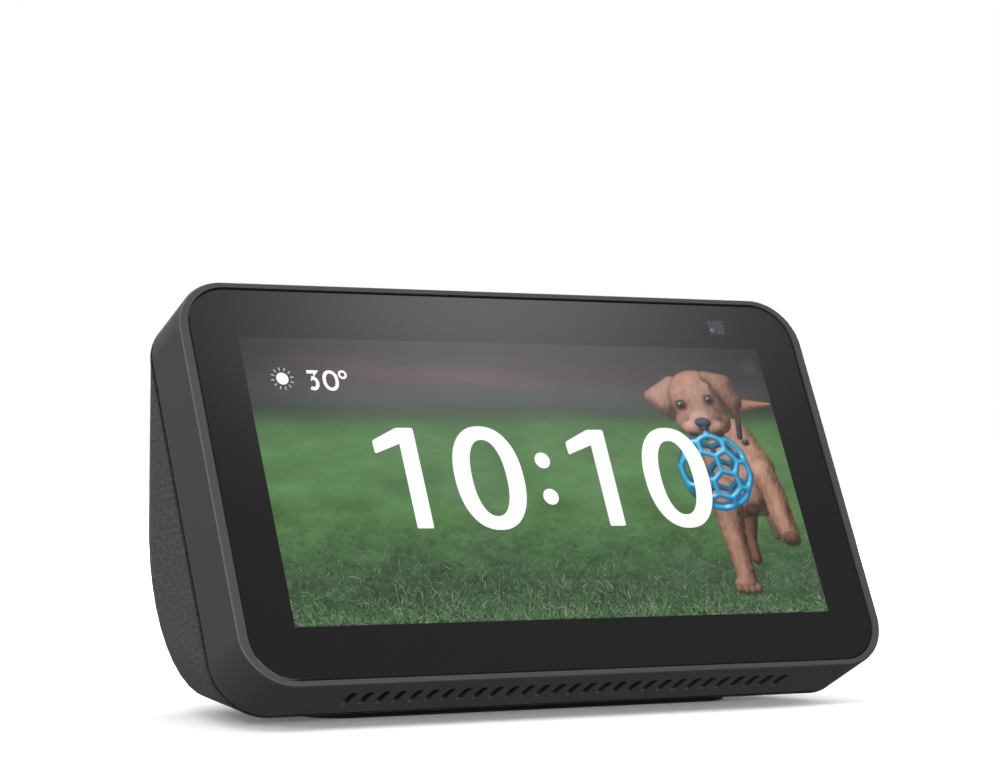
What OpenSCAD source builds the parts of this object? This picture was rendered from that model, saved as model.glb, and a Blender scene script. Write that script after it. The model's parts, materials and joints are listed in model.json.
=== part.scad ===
// Smart display: a leaning 2:1 screen in a shallow plastic housing, with a rounded rear body
// that is covered in fabric and holds the loudspeaker and the sockets.
// +Z is up, the screen looks toward -Y, and +X is to the right of someone facing the screen.
// The origin is on the surface it stands on, under the middle of its overall box.
// Sizes are in millimetres.

/* [Overall] */
// Width of the screen face and of the housing
body_w = 148; // [144:1:180]
// Height of the top edge above the table
body_h = 86; // [85:1:104]
// Depth from the front lip to the back of the fabric
body_d = 73; // [72:1:88]
// Lean of the screen back from upright, in degrees
screen_lean = 25.3; // [24:0.1:27]
// Height of the front lip above the table
lip_z = 8.2; // [8:0.1:9]
// Corner radius of the screen face
corner_r = 10.8; // [10:0.1:13]

/* [Front housing] */
// Depth of the plastic side wall, square to the screen
housing_depth = 14.8; // [14.6:0.1:18]
// Wall of the front housing
housing_wall = 2; // [1.8:0.1:2.4]
// Width of the rim beside the glass, left and right
rim_side = 2; // [1.6:0.1:2.4]
// Width of the rim above and below the glass
rim_end = 1.2; // [1:0.1:1.5]
// Thickness of the ledge that the glass is bonded to
ledge_t = 1.4; // [1.2:0.1:1.6]
// Number of slots under the screen
slot_count = 29; // [15:2:31]
// Distance between slot centres
slot_pitch = 3.56; // [3:0.02:3.8]
// Width of one slot
slot_w = 1.5; // [1:0.1:1.8]
// Length of one slot
slot_l = 6; // [4:0.1:6.6]

/* [Screen] */
// Thickness of the cover glass
glass_t = 1.5; // [1:0.1:1.9]
// Gap all round between the glass and the rim
glass_gap = 0.3; // [0.2:0.05:0.5]
// Blank border from the side of the housing to the picture
side_border = 12.25; // [12:0.05:16]
// Blank border from the top and bottom of the housing to the picture
end_border = 12.15; // [12:0.05:14]

/* [Buttons and shutter] */
// Diameter of a round button
button_d = 7.2; // [5:0.1:8]
// Distance between button centres
button_pitch = 15; // [12:0.5:16]
// Travel of a button
button_travel = 0.5; // [0.3:0.05:0.6]
// Travel of the camera shutter
shutter_travel = 5.5; // [5:0.1:6.5]
// Distance of the camera from the right side of the housing
camera_inset = 22.6; // [22:0.1:26]

/* [Rear body] */
// Thickness of the fabric cover
fabric_t = 1; // [0.8:0.1:1.4]
// Wall of the rear shell
shell_t = 2.2; // [1.8:0.1:2.4]
// Dark groove between the front housing and the fabric
groove_w = 0.6; // [0.4:0.1:1]
// How much each side draws in toward the back
rear_taper = 5.5; // [4:0.1:8]
// Side-to-side radius of the rear corners
rear_corner_r = 7.5; // [6.5:0.1:12]
// Front-to-back radius of the rear bulge
rear_bulge_r = 26.8; // [24:0.1:30]
// Drop from the top edge to the crown of the rear bulge
rear_drop = 16.8; // [15:0.1:18]
// Height of the rear bulge above the table
rear_clear = 3; // [2.6:0.1:4]

/* [Loudspeaker and sockets] */
// Size of the loudspeaker's square frame
driver_size = 40; // [34:1:40]
// Depth of the loudspeaker behind its frame
driver_depth = 15.8; // [15:0.1:16.5]
// Travel of the cone each way
cone_travel = 1; // [0.5:0.1:1.2]
// Radius of the power socket's bore
jack_bore_r = 2.1; // [1.9:0.05:2.5]
// Radius of the power socket's centre pin
jack_pin_r = 0.8; // [0.6:0.05:0.85]

/* [Base] */
// Width of the rubber foot
foot_w = 98; // [80:1:110]
// Depth of the rubber foot
foot_d = 30; // [24:1:34]
// Thickness of the rubber foot
foot_t = 1.7; // [1.5:0.1:2.2]

/* [Hidden] */
$fn = 64;

// Clearances shared by what fits together
fit = 0.05;
slide_gap = 0.2;
skin_gap = 0.15;

// Screen face: x to the right, y up the face, z out of it, zero at the middle of the rim
face_h = (body_h - lip_z) / cos(screen_lean);
face_y = -body_d / 2 + face_h / 2 * sin(screen_lean);
face_z = lip_z + face_h / 2 * cos(screen_lean);

// Depths square to the screen, from the rim back, so all are negative
glass_front = -0.25;
glass_back = glass_front - glass_t;
gasket_t = 0.4;
ledge_front = glass_back - gasket_t;
ledge_back = ledge_front - ledge_t;
panel_t = 1.4;
panel_back = glass_back - panel_t;
backlight_t = 2;
backlight_back = panel_back - backlight_t;
bracket_t = 0.8;
bracket_back = backlight_back - bracket_t;
standoff_l = 2.3;
board_front = bracket_back - standoff_l;
board_t = 1.6;
board_back = board_front - board_t;
flex_t = 0.2;
flex_back = board_back - flex_t;
can_t = 2;
can_back = board_back - can_t;
pad_t = 0.8;
pad_back = can_back - pad_t;
spreader_t = 1.4;
seam_n = -housing_depth;
rear_n = seam_n - groove_w;

// Glass, picture and display panel
glass_w = body_w - 2 * (rim_side + glass_gap);
glass_h = face_h - 2 * (rim_end + glass_gap);
glass_r = corner_r - rim_side + 0.1;
active_w = min(body_w - 2 * side_border, 2 * (face_h - 2 * end_border));
active_h = active_w / 2;
panel_side = 1.75;
bracket_lip = 0.5;
panel_w = active_w + 2 * panel_side;
panel_top = active_h / 2 + 1.2;
panel_foot = active_h / 2 + 4.1;
panel_h = panel_top + panel_foot;
panel_y = (panel_top - panel_foot) / 2;

// Inside of the front housing
inner_w = body_w - 2 * housing_wall;
inner_h = face_h - 2 * housing_wall;
ledge_side = 3;
ledge_end = 2;
view_w = inner_w - 2 * ledge_side;
view_h = inner_h - 2 * ledge_end;
view_r = 6.5;
slot_y = (ledge_back + seam_n) / 2 + 1.8;
mesh_edge = 0.8;

// Screws that join the housing to the rear shell, one near each corner
corner_boss_r = 3.4;
corner_screw_x = body_w / 2 - side_border + panel_side + bracket_lip + corner_boss_r + 2 * fit;
corner_screw_y = inner_h / 2 - 5;
corner_head_r = 1.9;
corner_seat = ledge_back - 2.6;
corner_grip = 3.8;
corner_floor = 1.2;

// Screws that hold the display bracket to bosses on the side walls
ear_screw_x = inner_w / 2 - 2.6;
ear_screw_y = 24;
ear_boss_r = 2.4;

// Main board, on the back of the bracket, at a fixed height above the foot of the screen
board_rise = 43.03;
board_x = -8;
board_y = board_rise - face_h / 2;
board_w = 96;
board_h = 46;
board_hole_x = board_w / 2 - 4;
board_hole_y = board_h / 2 - 4;
// Each can on the board: place across it, width and height
cans = [[-27, 26, 24], [5, 22, 22]];
can_y = board_y + 2;
pad_edge = 2;
lead_x = 28;
lead_socket_y = board_y - 8;

// Buttons on the top wall
wall_depth = 8.2;
button_proud = 0.5;
flange_t = 0.8;
flange_r = button_d / 2 + 0.8;
switch_h = 1.6;
dome_h = 0.4;
button_board_t = 1.2;
button_board_top = -housing_wall - 5;
switch_top = button_board_top + switch_h + dome_h;

// Camera and its shutter, near the right end of the top wall
camera_x = body_w / 2 - camera_inset;
camera_y = face_h / 2 - 7.75;
blade_front = ledge_back - slide_gap;
blade_t = 0.3;
camera_front = blade_front - blade_t - slide_gap;
camera_barrel_l = 2.1;
shutter_x = camera_x + shutter_travel;
knob_w = 7;
knob_d = 3.6;
knob_recess = 0.9;
stem_w = 3;
stem_d = 1.6;
blade_w = 7;
blade_h = 7;

// Button board reaches to just short of the camera, with a microphone near each end
button_board_half = camera_x - 9.4;
button_board_d = 8;
mic_x = button_board_half - 4;
mic_hole_r = 0.6;
mic_h = 1;
button_screw_x = button_board_half - 11;

// Rear body
rear_rz = (body_h - rear_drop - rear_clear) / 2;
rear_z = rear_clear + rear_rz;
rear_y = body_d / 2 - rear_bulge_r;
rear_x = body_w / 2 - rear_taper - rear_corner_r;
shell_out = fabric_t + fit;
shell_in = shell_out + shell_t;
hull_fn = 44;
// A faceted ball's rings straddle its equator, so it is widened to reach its true radius
ring_fix = 1 / cos(180 / hull_fn);

// Floor of the rear shell, base plate and foot
foot_recess = 0.5;
plate_bottom = foot_t - foot_recess;
plate_w = foot_w + 6;
plate_d = foot_d + 4;
plate_r = 10;
plate_top = rear_clear + 1.4;
floor_t = 1.6;
floor_top = plate_top + fit + floor_t;
base_y = -1;
base_screw_x = foot_w / 2 - 8;
base_screw_y = foot_d / 2 - 6;
base_boss_r = 3;
base_boss_h = 5;

// Loudspeaker: its axis points straight back, toward +Y
spk_y = body_d / 2 - 16.2;
driver_r = driver_size / 2 - 2.5;
flange_depth = 1.2;
seal_t = 0.6;
baffle_t = 2.4;
baffle_front = -flange_depth - seal_t;
cone_r = driver_r - 2.4;
cone_t = 0.4;
cone_neck = -6;
coil_r = 6.9;
coil_t = 0.4;
motor_front = -9.8;
motor_r = 11.5;
box_w = 60;
box_h = driver_size + 3;
box_wall = 1.8;
box_back = -driver_depth - 0.6;
lid_t = 1.2;
lid_front = spk_y + box_back - lid_t;
spk_z = min(rear_z + 4, screen_layer_z(lid_front - 0.5, flex_back) - box_h / 2);
driver_screw = driver_size / 2 - 2.7;
ear_x = box_w / 2 + 5;
ear_t = 2;
ear_front = baffle_front - 4.5;

// Sockets at the lower back, to the left of someone facing the screen
io_x = -44;
io_w = 26;
io_d = 17;
io_bottom = 12.4;
io_y = min(body_d / 2 - 12.5, rear_wall_y(io_bottom) - 0.01);
io_t = 1.6;
io_top = io_bottom + io_t;
jack_x = io_x + 6;
jack_w = 9;
jack_h = 9.5;
jack_l = 12.5;
jack_z = io_top + jack_h / 2;
usb_x = io_x - 6;
usb_w = 7.6;
usb_h = 3;
usb_l = 5.6;
usb_wall = 0.35;
usb_z = io_top + usb_h / 2;
port_w = 28;
port_h = 13.4;
port_r = 4;
port_z = io_top + 5;
port_wall = 1.2;
port_inner = io_y + 0.5;
port_floor_t = 1.5;

// Height at which a layer behind the screen, at depth n, reaches y
function screen_layer_z(y, n) = face_z + n * sin(screen_lean)
    + (y - face_y + n * cos(screen_lean)) / tan(screen_lean);

// Inner face of the rear shell's middle at a height
function rear_wall_y(z) = rear_y
    + (rear_bulge_r - shell_in) * sqrt(1 - pow((z - rear_z) / (rear_rz - shell_in), 2));

// Places a shape on the screen face
module on_face() {
    translate([0, face_y, face_z]) rotate([90 - screen_lean, 0, 0]) children();
}

// Places a shape on the top wall: y runs back from the rim, z out of the wall
module on_top() {
    on_face() translate([0, face_h / 2, 0]) rotate([-90, 0, 0]) children();
}

// Places a shape on the bottom wall: y runs toward the rim, z out of the wall
module on_bottom() {
    on_face() translate([0, -face_h / 2, 0]) rotate([90, 0, 0]) children();
}

// Places a shape on the loudspeaker's axis: z toward the back, y down
module on_speaker() {
    translate([0, spk_y, spk_z]) rotate([-90, 0, 0]) children();
}

// Places a shape on a line toward the back at x and z: its own z runs toward +Y
module facing_back(x, y, z) {
    translate([x, y, z]) rotate([-90, 0, 0]) children();
}

// Outline of a rectangle with true round corners
module rounded_rect(w, h, r) {
    square([w - 2 * r, h], center = true);
    square([w, h - 2 * r], center = true);
    for (x = [-1, 1], y = [-1, 1]) translate([x * (w / 2 - r), y * (h / 2 - r)]) circle(r);
}

// Rounded plate between two depths
module slab(w, h, r, back, front) {
    translate([0, 0, back]) linear_extrude(front - back) rounded_rect(w, h, r);
}

// Box centred on x and y between two depths
module block(x, y, w, h, back, front) {
    translate([x - w / 2, y - h / 2, back]) cube([w, h, front - back]);
}

// Cylinder between two depths
module rod(x, y, r, back, front) {
    translate([x, y, back]) cylinder(h = front - back, r = r);
}

// Copies at the four corners of a rectangle of half sizes x and y
module four(x, y) {
    for (sx = [-1, 1], sy = [-1, 1]) translate([sx * x, sy * y, 0]) children();
}

// Pan-head screw: head between seat and seat + head_h, shank running back from the seat
module screw(r, head_r, head_h, length) {
    difference() {
        cylinder(h = head_h, r = head_r);
        translate([0, 0, head_h / 2]) cylinder(h = head_h, r = head_r / 2, $fn = 6);
    }
    translate([0, 0, -length]) cylinder(h = length + head_h / 4, r = r);
}

// Rear body, drawn in by inset all round and carried forward of its front edge
module rear_form(inset, forward = 0) {
    hull() {
        on_face() slab(body_w - 2 * inset, face_h - 2 * inset, corner_r - inset,
                       rear_n - 0.2, rear_n + forward, $fn = hull_fn);
        for (side = [-1, 1]) intersection() {
            translate([side * rear_x, rear_y, rear_z])
                scale(ring_fix * [rear_corner_r - inset, rear_bulge_r - inset, rear_rz - inset])
                    sphere(1, $fn = hull_fn);
            on_face() block(0, 0, 2 * body_w, 2 * body_h, rear_n - 2 * body_d, rear_n - 0.1);
        }
    }
}

// Cover glass
module front_glass() {
    color([0.04, 0.04, 0.05]) on_face() slab(glass_w, glass_h, glass_r, glass_back, glass_front);
}

// Slots under the screen, as cutters through the bottom wall
module slot_cutters() {
    for (i = [0 : slot_count - 1]) translate([(i - (slot_count - 1) / 2) * slot_pitch, slot_y, 0]) {
        block(0, 0, slot_w, slot_l - slot_w, -housing_wall - 1, 1);
        for (end = [-1, 1]) rod(0, end * (slot_l - slot_w) / 2, slot_w / 2, -housing_wall - 1, 1);
    }
}

// Openings in the top wall: buttons, microphones and shutter
module top_cutters() {
    for (i = [-1 : 1]) rod(i * button_pitch, wall_depth, button_d / 2 + skin_gap, -housing_wall - 1, 1);
    for (side = [-1, 1]) rod(side * mic_x, wall_depth, mic_hole_r, -housing_wall - 1, 1);
    reach = knob_w + shutter_travel + 2 * slide_gap;
    block(shutter_x - shutter_travel / 2, wall_depth, reach, knob_d + 2 * slide_gap, -knob_recess, 1);
    block(shutter_x - shutter_travel / 2, wall_depth, stem_w + shutter_travel + 2 * slide_gap,
          stem_d + 2 * slide_gap, -housing_wall - 1, 1);
}

// Front housing: rim, ledge for the glass, side wall and screw bosses
module front_housing() {
    color([0.2, 0.2, 0.21]) difference() {
        union() {
            on_face() difference() {
                slab(body_w, face_h, corner_r, seam_n, 0);
                slab(body_w - 2 * rim_side, face_h - 2 * rim_end, corner_r - rim_side + 0.4,
                     ledge_front, 1);
                slab(view_w, view_h, view_r, seam_n, 1);
                slab(inner_w, inner_h, corner_r - housing_wall, seam_n - 1, ledge_back);
            }
            on_face() four(corner_screw_x, corner_screw_y) rod(0, 0, corner_boss_r, seam_n, ledge_front);
            on_face() four(ear_screw_x, ear_screw_y)
                rod(0, 0, ear_boss_r, backlight_back + fit, ledge_back);
            on_top() for (side = [-1, 1])
                rod(side * button_screw_x, wall_depth, 2.2, button_board_top + fit, -housing_wall + 0.2);
        }
        on_face() four(corner_screw_x, corner_screw_y) {
            rod(0, 0, corner_head_r + skin_gap, corner_seat, ledge_front + 1);
            rod(0, 0, 1.1, seam_n - 1, corner_seat + 1);
        }
        on_face() four(ear_screw_x, ear_screw_y) rod(0, 0, 0.8 + fit, backlight_back - 1, ledge_front - 0.4);
        on_top() for (side = [-1, 1])
            rod(side * button_screw_x, wall_depth, 0.8 + fit, button_board_top - 1, -housing_wall - 0.6);
        on_bottom() slot_cutters();
        on_top() top_cutters();
    }
}

// Liquid crystal panel, bonded to the back of the glass
module display_panel() {
    color([0.12, 0.3, 0.16]) on_face()
        block(0, panel_y, panel_w, panel_h, panel_back, glass_back);
}

// Backlight with its light guide
module display_backlight() {
    color([0.85, 0.87, 0.9]) on_face()
        block(0, panel_y, panel_w - 0.8, panel_h - 0.8, backlight_back, panel_back);
}

// Sheet-metal bracket behind the display, with ears, cut-outs and stand-offs for the board
module display_bracket() {
    ear_w = 2 * (ear_screw_x + 1.8);
    color([0.72, 0.73, 0.75]) on_face() difference() {
        union() {
            block(0, panel_y, panel_w + 2 * bracket_lip, panel_h - 1, bracket_back, backlight_back);
            for (side = [-1, 1])
                block(0, side * ear_screw_y, ear_w, 7, bracket_back, backlight_back);
            translate([board_x, board_y, 0]) four(board_hole_x, board_hole_y)
                rod(0, 0, 2, board_front, bracket_back + 0.1);
        }
        four(ear_screw_x, ear_screw_y) rod(0, 0, 1, bracket_back - 1, backlight_back + 1);
        translate([board_x, board_y, 0]) four(board_hole_x, board_hole_y)
            rod(0, 0, 0.8 + fit, board_front - 1, backlight_back + 1);
        for (side = [-1, 1]) block(side * 30, 0, 34, 26, bracket_back - 1, backlight_back + 1);
    }
}

// Adhesive gasket between the glass and the ledge
module glass_gasket() {
    color([0.1, 0.1, 0.1]) on_face() difference() {
        slab(glass_w - 1, glass_h - 1, glass_r - 0.5, ledge_front, glass_back);
        slab(view_w + 0.8, view_h + 0.8, view_r + 0.4, ledge_front - 1, glass_back + 1);
        four(corner_screw_x, corner_screw_y)
            rod(0, 0, corner_head_r + 0.4, ledge_front - 1, glass_back + 1);
    }
}

// Fine dust mesh on the inside of the slots
module slot_mesh() {
    mesh_w = (slot_count - 1) * slot_pitch + slot_w + 2 * mesh_edge;
    color([0.08, 0.08, 0.08]) on_bottom()
        block(0, slot_y, mesh_w, slot_l + 2 * mesh_edge, -housing_wall - 0.35, -housing_wall);
}

// Flat cable from the foot of the panel round the bracket to the back of the main board
module display_flex() {
    flex_w = 20;
    bend_y = panel_y - panel_h / 2 - 1.2;
    conn_y = board_y - board_h / 2 + 5;
    color([0.75, 0.5, 0.2]) on_face() {
        block(-10, (bend_y + panel_y - panel_h / 2) / 2, flex_w, 1.2, panel_back, panel_back + flex_t);
        block(-10, bend_y - flex_t / 2, flex_w, flex_t, flex_back, panel_back + flex_t);
        block(-10, (bend_y + conn_y) / 2, flex_w, conn_y - bend_y, flex_back, board_back);
    }
}

// Camera body with its lens barrel
module camera_module() {
    color([0.1, 0.1, 0.11]) on_face() translate([camera_x, camera_y, 0]) difference() {
        union() {
            block(0, 0, 7, 5.6, board_back, camera_front - camera_barrel_l);
            rod(0, 0, 2.4, camera_front - camera_barrel_l - 0.1, camera_front);
        }
        rod(0, 0, 1.65, camera_front - camera_barrel_l + 0.2, camera_front + 1);
    }
}

// Camera lens: a disc with a raised front
module camera_lens() {
    lens_r = 1.6;
    dome_r = 2.6;
    dome_rise = dome_r - sqrt(dome_r * dome_r - lens_r * lens_r);
    lens_back = camera_front - 1.6;
    color([0.2, 0.22, 0.35]) on_face() translate([camera_x, camera_y, lens_back]) {
        cylinder(h = 0.6, r = lens_r);
        translate([0, 0, 0.6]) intersection() {
            cylinder(h = dome_rise, r = lens_r);
            translate([0, 0, dome_rise - dome_r]) sphere(dome_r);
        }
    }
}

// Flat cable from the camera down to the back of the main board
module camera_flex() {
    board_right = board_x + board_w / 2;
    corner_y = board_y + board_h / 2 - 13;
    color([0.75, 0.5, 0.2]) on_face() {
        block(camera_x, (camera_y + corner_y) / 2, 5, camera_y - corner_y + 5, flex_back, board_back);
        block((camera_x + board_right) / 2 - 6, corner_y, camera_x - board_right + 12, 5,
              flex_back, board_back);
    }
}

// Light sensor beside the camera
module light_sensor() {
    color([0.3, 0.3, 0.35]) on_face()
        block(camera_x - 6.5, camera_y, 2, 2, camera_front - 1, camera_front);
}

// Shutter knob: ridged grip in its recess, stem through the wall
module shutter_knob() {
    ridge = 0.5;
    grip_top = 0.3;
    color([0.16, 0.16, 0.17]) on_top() difference() {
        union() {
            block(shutter_x, wall_depth, knob_w, knob_d, slide_gap - knob_recess, grip_top);
            block(shutter_x, wall_depth, stem_w, stem_d, -housing_wall - slide_gap, -0.1);
        }
        for (i = [-2 : 2]) block(shutter_x + i * 2 * ridge, wall_depth, ridge, knob_d + 1, grip_top - 0.3, 1);
    }
}

// Shutter blade: hangs from the knob's stem and covers the camera when slid across
module shutter_blade() {
    tab_top = -housing_wall - slide_gap;
    tab_t = 0.6;
    color([0.85, 0.85, 0.83]) on_top() {
        block(shutter_x, (wall_depth + stem_d / 2 - blade_front) / 2, 4, wall_depth + stem_d / 2 + blade_front,
              tab_top - tab_t, tab_top);
        block(shutter_x, blade_t / 2 - blade_front, blade_w, blade_t, tab_top - blade_h, tab_top);
    }
}

// Round button with the flange that holds it under the wall and the pin that meets its switch
module button(x) {
    pin_bottom = switch_top + button_travel + fit;
    cap_top = button_proud;
    dish_r = 30;
    color([0.17, 0.17, 0.18]) on_top() translate([x, wall_depth, 0]) difference() {
        union() {
            rod(0, 0, button_d / 2, -housing_wall - flange_t - fit, cap_top);
            rod(0, 0, flange_r, -housing_wall - flange_t - fit, -housing_wall - fit);
            rod(0, 0, 1.1, pin_bottom, -housing_wall - flange_t);
        }
        translate([0, 0, cap_top + dish_r - 0.15]) sphere(dish_r);
    }
}

// Microphone and camera off button
module mute_button() {
    button(-button_pitch);
}

// Volume down button
module volume_down_button() {
    button(0);
}

// Volume up button
module volume_up_button() {
    button(button_pitch);
}

// Switches under the buttons
module tact_switches() {
    color([0.75, 0.76, 0.78]) on_top() for (i = [-1 : 1]) {
        block(i * button_pitch, wall_depth, 4.5, 4.5, button_board_top, button_board_top + switch_h);
        rod(i * button_pitch, wall_depth, 1.2, button_board_top + switch_h - 0.1, switch_top);
    }
}

// Board for the buttons and microphones, hung under the top wall
module button_board() {
    color([0.05, 0.28, 0.14]) on_top() difference() {
        block(0, wall_depth, 2 * button_board_half, button_board_d,
              button_board_top - button_board_t, button_board_top);
        for (side = [-1, 1])
            rod(side * button_screw_x, wall_depth, 1, button_board_top - 2, button_board_top + 1);
    }
}

// Flat cable from the button board down to the back of the main board
module button_flex() {
    top_y = face_h / 2 + button_board_top - button_board_t;
    end_y = board_y + board_h / 2 - 6;
    color([0.75, 0.5, 0.2]) on_face()
        block(-4, (top_y + end_y) / 2, 10, top_y - end_y, flex_back, board_back);
}

// Microphones
module microphones() {
    color([0.78, 0.74, 0.6]) on_top() for (side = [-1, 1])
        block(side * mic_x, wall_depth, 3.6, 2.8, button_board_top, button_board_top + mic_h);
}

// Rubber tubes that join each microphone to its hole in the wall
module microphone_gaskets() {
    color([0.12, 0.12, 0.12]) on_top() for (side = [-1, 1]) difference() {
        rod(side * mic_x, wall_depth, 1.4, button_board_top + mic_h, -housing_wall);
        rod(side * mic_x, wall_depth, mic_hole_r, button_board_top, 0);
    }
}

// Main board
module main_board() {
    color([0.04, 0.25, 0.12]) on_face() translate([board_x, board_y, 0]) difference() {
        block(0, 0, board_w, board_h, board_back, board_front);
        four(board_hole_x, board_hole_y) rod(0, 0, 1, board_back - 1, board_front + 1);
    }
}

// Metal cans over the processor and the radio
module shield_cans() {
    color([0.7, 0.71, 0.73]) on_face() for (c = cans)
        block(c[0], can_y, c[1], c[2], can_back, board_back);
}

// Thermal pads between the cans and the heat spreader
module thermal_pads() {
    color([0.55, 0.6, 0.7]) on_face() for (c = cans)
        block(c[0], can_y, c[1] - 2 * pad_edge, c[2] - 2 * pad_edge, pad_back, can_back);
}

// Heat spreader plate
module heat_spreader() {
    color([0.6, 0.6, 0.62]) on_face() slab_at(-12, can_y, 62, 24, 2, pad_back - spreader_t, pad_back);
}

// Rounded plate away from the middle of the face
module slab_at(x, y, w, h, r, back, front) {
    translate([x, y, 0]) slab(w, h, r, back, front);
}

// Connectors on the back of the main board: display, buttons, speaker and sockets
module board_connectors() {
    display_y = board_y - board_h / 2 + 6.6;
    button_y = board_y + board_h / 2 - 7.6;
    color([0.9, 0.88, 0.82]) on_face() {
        block(-10, display_y, 22, 3, flex_back - 0.8, board_back);
        block(-4, button_y, 12, 3, flex_back - 0.8, board_back);
        block(lead_x, lead_socket_y, 6, 4.4, flex_back - 1.2, board_back);
        block(io_x, board_y - board_h / 2 + 9, 9, 3, flex_back - 0.8, board_back);
    }
}

// Radio antennas on the inside of the side walls
module wifi_antennas() {
    antenna_t = 0.3;
    color([0.8, 0.6, 0.3]) on_face() for (side = [-1, 1])
        block(side * (inner_w / 2 - antenna_t / 2), 0, antenna_t, 28, seam_n + 1.5, ledge_back - 1.5);
}

// Loudspeaker cabinet: walls, baffle and the two ears that it is held by
module speaker_box() {
    color([0.15, 0.15, 0.16]) on_speaker() difference() {
        union() {
            slab(box_w, box_h, 4, box_back, baffle_front);
            for (side = [-1, 1]) block(side * ear_x, 0, 12, 9, ear_front - ear_t, ear_front);
        }
        slab(box_w - 2 * box_wall, box_h - 2 * box_wall, 2.4, box_back - 1, baffle_front - baffle_t);
        rod(0, 0, driver_r + 0.1, box_back, 1);
        four(driver_screw, driver_screw) rod(0, 0, 0.9 + fit, baffle_front - baffle_t - 1, 1);
        for (side = [-1, 1]) rod(side * (ear_x + 1.5), 0, 1.2, ear_front - ear_t - 1, ear_front + 1);
    }
}

// Lid that closes the cabinet toward the screen
module speaker_box_lid() {
    color([0.18, 0.18, 0.19]) on_speaker() slab(box_w, box_h, 4, box_back - lid_t, box_back);
}

// Loudspeaker frame: square flange and the basket behind it
module speaker_basket() {
    color([0.25, 0.25, 0.26]) on_speaker() {
        difference() {
            slab(driver_size, driver_size, 4, -flange_depth, 0);
            rod(0, 0, driver_r - 0.8, -2, 1);
            four(driver_screw, driver_screw) rod(0, 0, 1.1, -2, 1);
        }
        rotate_extrude() polygon([
            [driver_r - 0.8, -flange_depth / 2], [driver_r, -flange_depth / 2], [driver_r, -3.6],
            [motor_r + 1, motor_front + 0.8], [motor_r + 1, motor_front], [coil_r + 0.7, motor_front],
            [coil_r + 0.7, motor_front + 0.8], [motor_r + 0.2, motor_front + 0.8], [driver_r - 0.8, -4]
        ]);
    }
}

// Magnet, yoke and pole piece
module speaker_magnet() {
    gap = 0.4;
    color([0.35, 0.35, 0.37]) on_speaker() rotate_extrude() polygon([
        [0, -driver_depth], [motor_r, -driver_depth], [motor_r, motor_front],
        [coil_r + gap, motor_front], [coil_r + gap, 1.6 - driver_depth],
        [coil_r - coil_t - gap, 1.6 - driver_depth], [coil_r - coil_t - gap, motor_front],
        [0, motor_front]
    ]);
}

// Half-round rubber surround between the cone's edge and the frame
module speaker_surround() {
    roll_r = (driver_r - 0.8 - cone_r - 0.5) / 2;
    color([0.1, 0.1, 0.1]) on_speaker() rotate_extrude() translate([cone_r + 0.35 + roll_r, -1.9])
        difference() {
            circle(roll_r);
            circle(roll_r - 0.35);
            translate([-roll_r - 1, -2 * roll_r - 2]) square([2 * roll_r + 2, 2 * roll_r + 2]);
        }
}

// Cone
module speaker_cone() {
    color([0.2, 0.2, 0.2]) on_speaker() rotate_extrude() polygon([
        [cone_r, -2.2], [cone_r, cone_t - 2.2], [coil_r, cone_neck + cone_t],
        [coil_r - coil_t, cone_neck + cone_t], [coil_r - coil_t, cone_neck], [coil_r, cone_neck]
    ]);
}

// Domed cap over the middle of the cone
module dust_cap() {
    rise = 1.6;
    cap_t = 0.3;
    base = cone_neck + cone_t;
    color([0.16, 0.16, 0.16]) on_speaker() rotate_extrude() polygon([
        for (i = [0 : 8]) [coil_r * i / 8, base + cap_t + rise * (1 - pow(i / 8, 2))],
        for (i = [8 : -1 : 0]) [coil_r * i / 8, base + rise * (1 - pow(i / 8, 2))]
    ]);
}

// Voice coil under the cone, in the magnet's gap
module voice_coil() {
    coil_deep = motor_front - 3;
    color([0.72, 0.42, 0.2]) on_speaker() difference() {
        rod(0, 0, coil_r, coil_deep, cone_neck);
        rod(0, 0, coil_r - coil_t, coil_deep - 1, -5);
    }
}

// Foam gasket between the frame and the baffle
module speaker_gasket() {
    color([0.13, 0.13, 0.13]) on_speaker() difference() {
        slab(driver_size - 1, driver_size - 1, 4, baffle_front, -flange_depth);
        rod(0, 0, driver_r + 0.1, baffle_front - 1, 0);
        four(driver_screw, driver_screw) rod(0, 0, 1.1, baffle_front - 1, 0);
    }
}

// Pair of wires from the main board to the cabinet
module speaker_lead() {
    lead_n = flex_back - 1.2;
    lead_y = face_y + lead_socket_y * sin(screen_lean) - lead_n * cos(screen_lean) + 0.8;
    lead_z = face_z + lead_socket_y * cos(screen_lean) + lead_n * sin(screen_lean);
    color([0.7, 0.1, 0.1]) for (side = [-1, 1])
        facing_back(lead_x - 3 + side * 0.8, lead_y, lead_z) cylinder(h = lid_front - lead_y, r = 0.5, $fn = 24);
}

// Board that carries the sockets
module io_board() {
    color([0.05, 0.28, 0.14]) difference() {
        translate([io_x - io_w / 2, io_y - io_d, io_bottom]) cube([io_w, io_d, io_t]);
        for (x = [-1, 1]) translate([io_x + x * (io_w / 2 - 2.4), io_y - io_d + 2.6, io_bottom - 1])
            cylinder(h = io_t + 2, r = 1);
    }
}

// Ribbon from the socket board up to the main board
module io_ribbon() {
    conn_v = board_y - board_h / 2 + 7;
    start_y = face_y + conn_v * sin(screen_lean) - flex_back * cos(screen_lean) + 0.6;
    start_z = face_z + conn_v * cos(screen_lean) + flex_back * sin(screen_lean) - 0.6;
    end_y = io_y - io_d + 2;
    end_z = io_top + fit;
    color([0.85, 0.85, 0.85]) translate([io_x - 4, 0, 0]) rotate([90, 0, 90]) linear_extrude(8)
        polygon([[start_y, start_z], [end_y, end_z], [end_y, end_z + flex_t], [start_y, start_z + flex_t]]);
}

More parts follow.
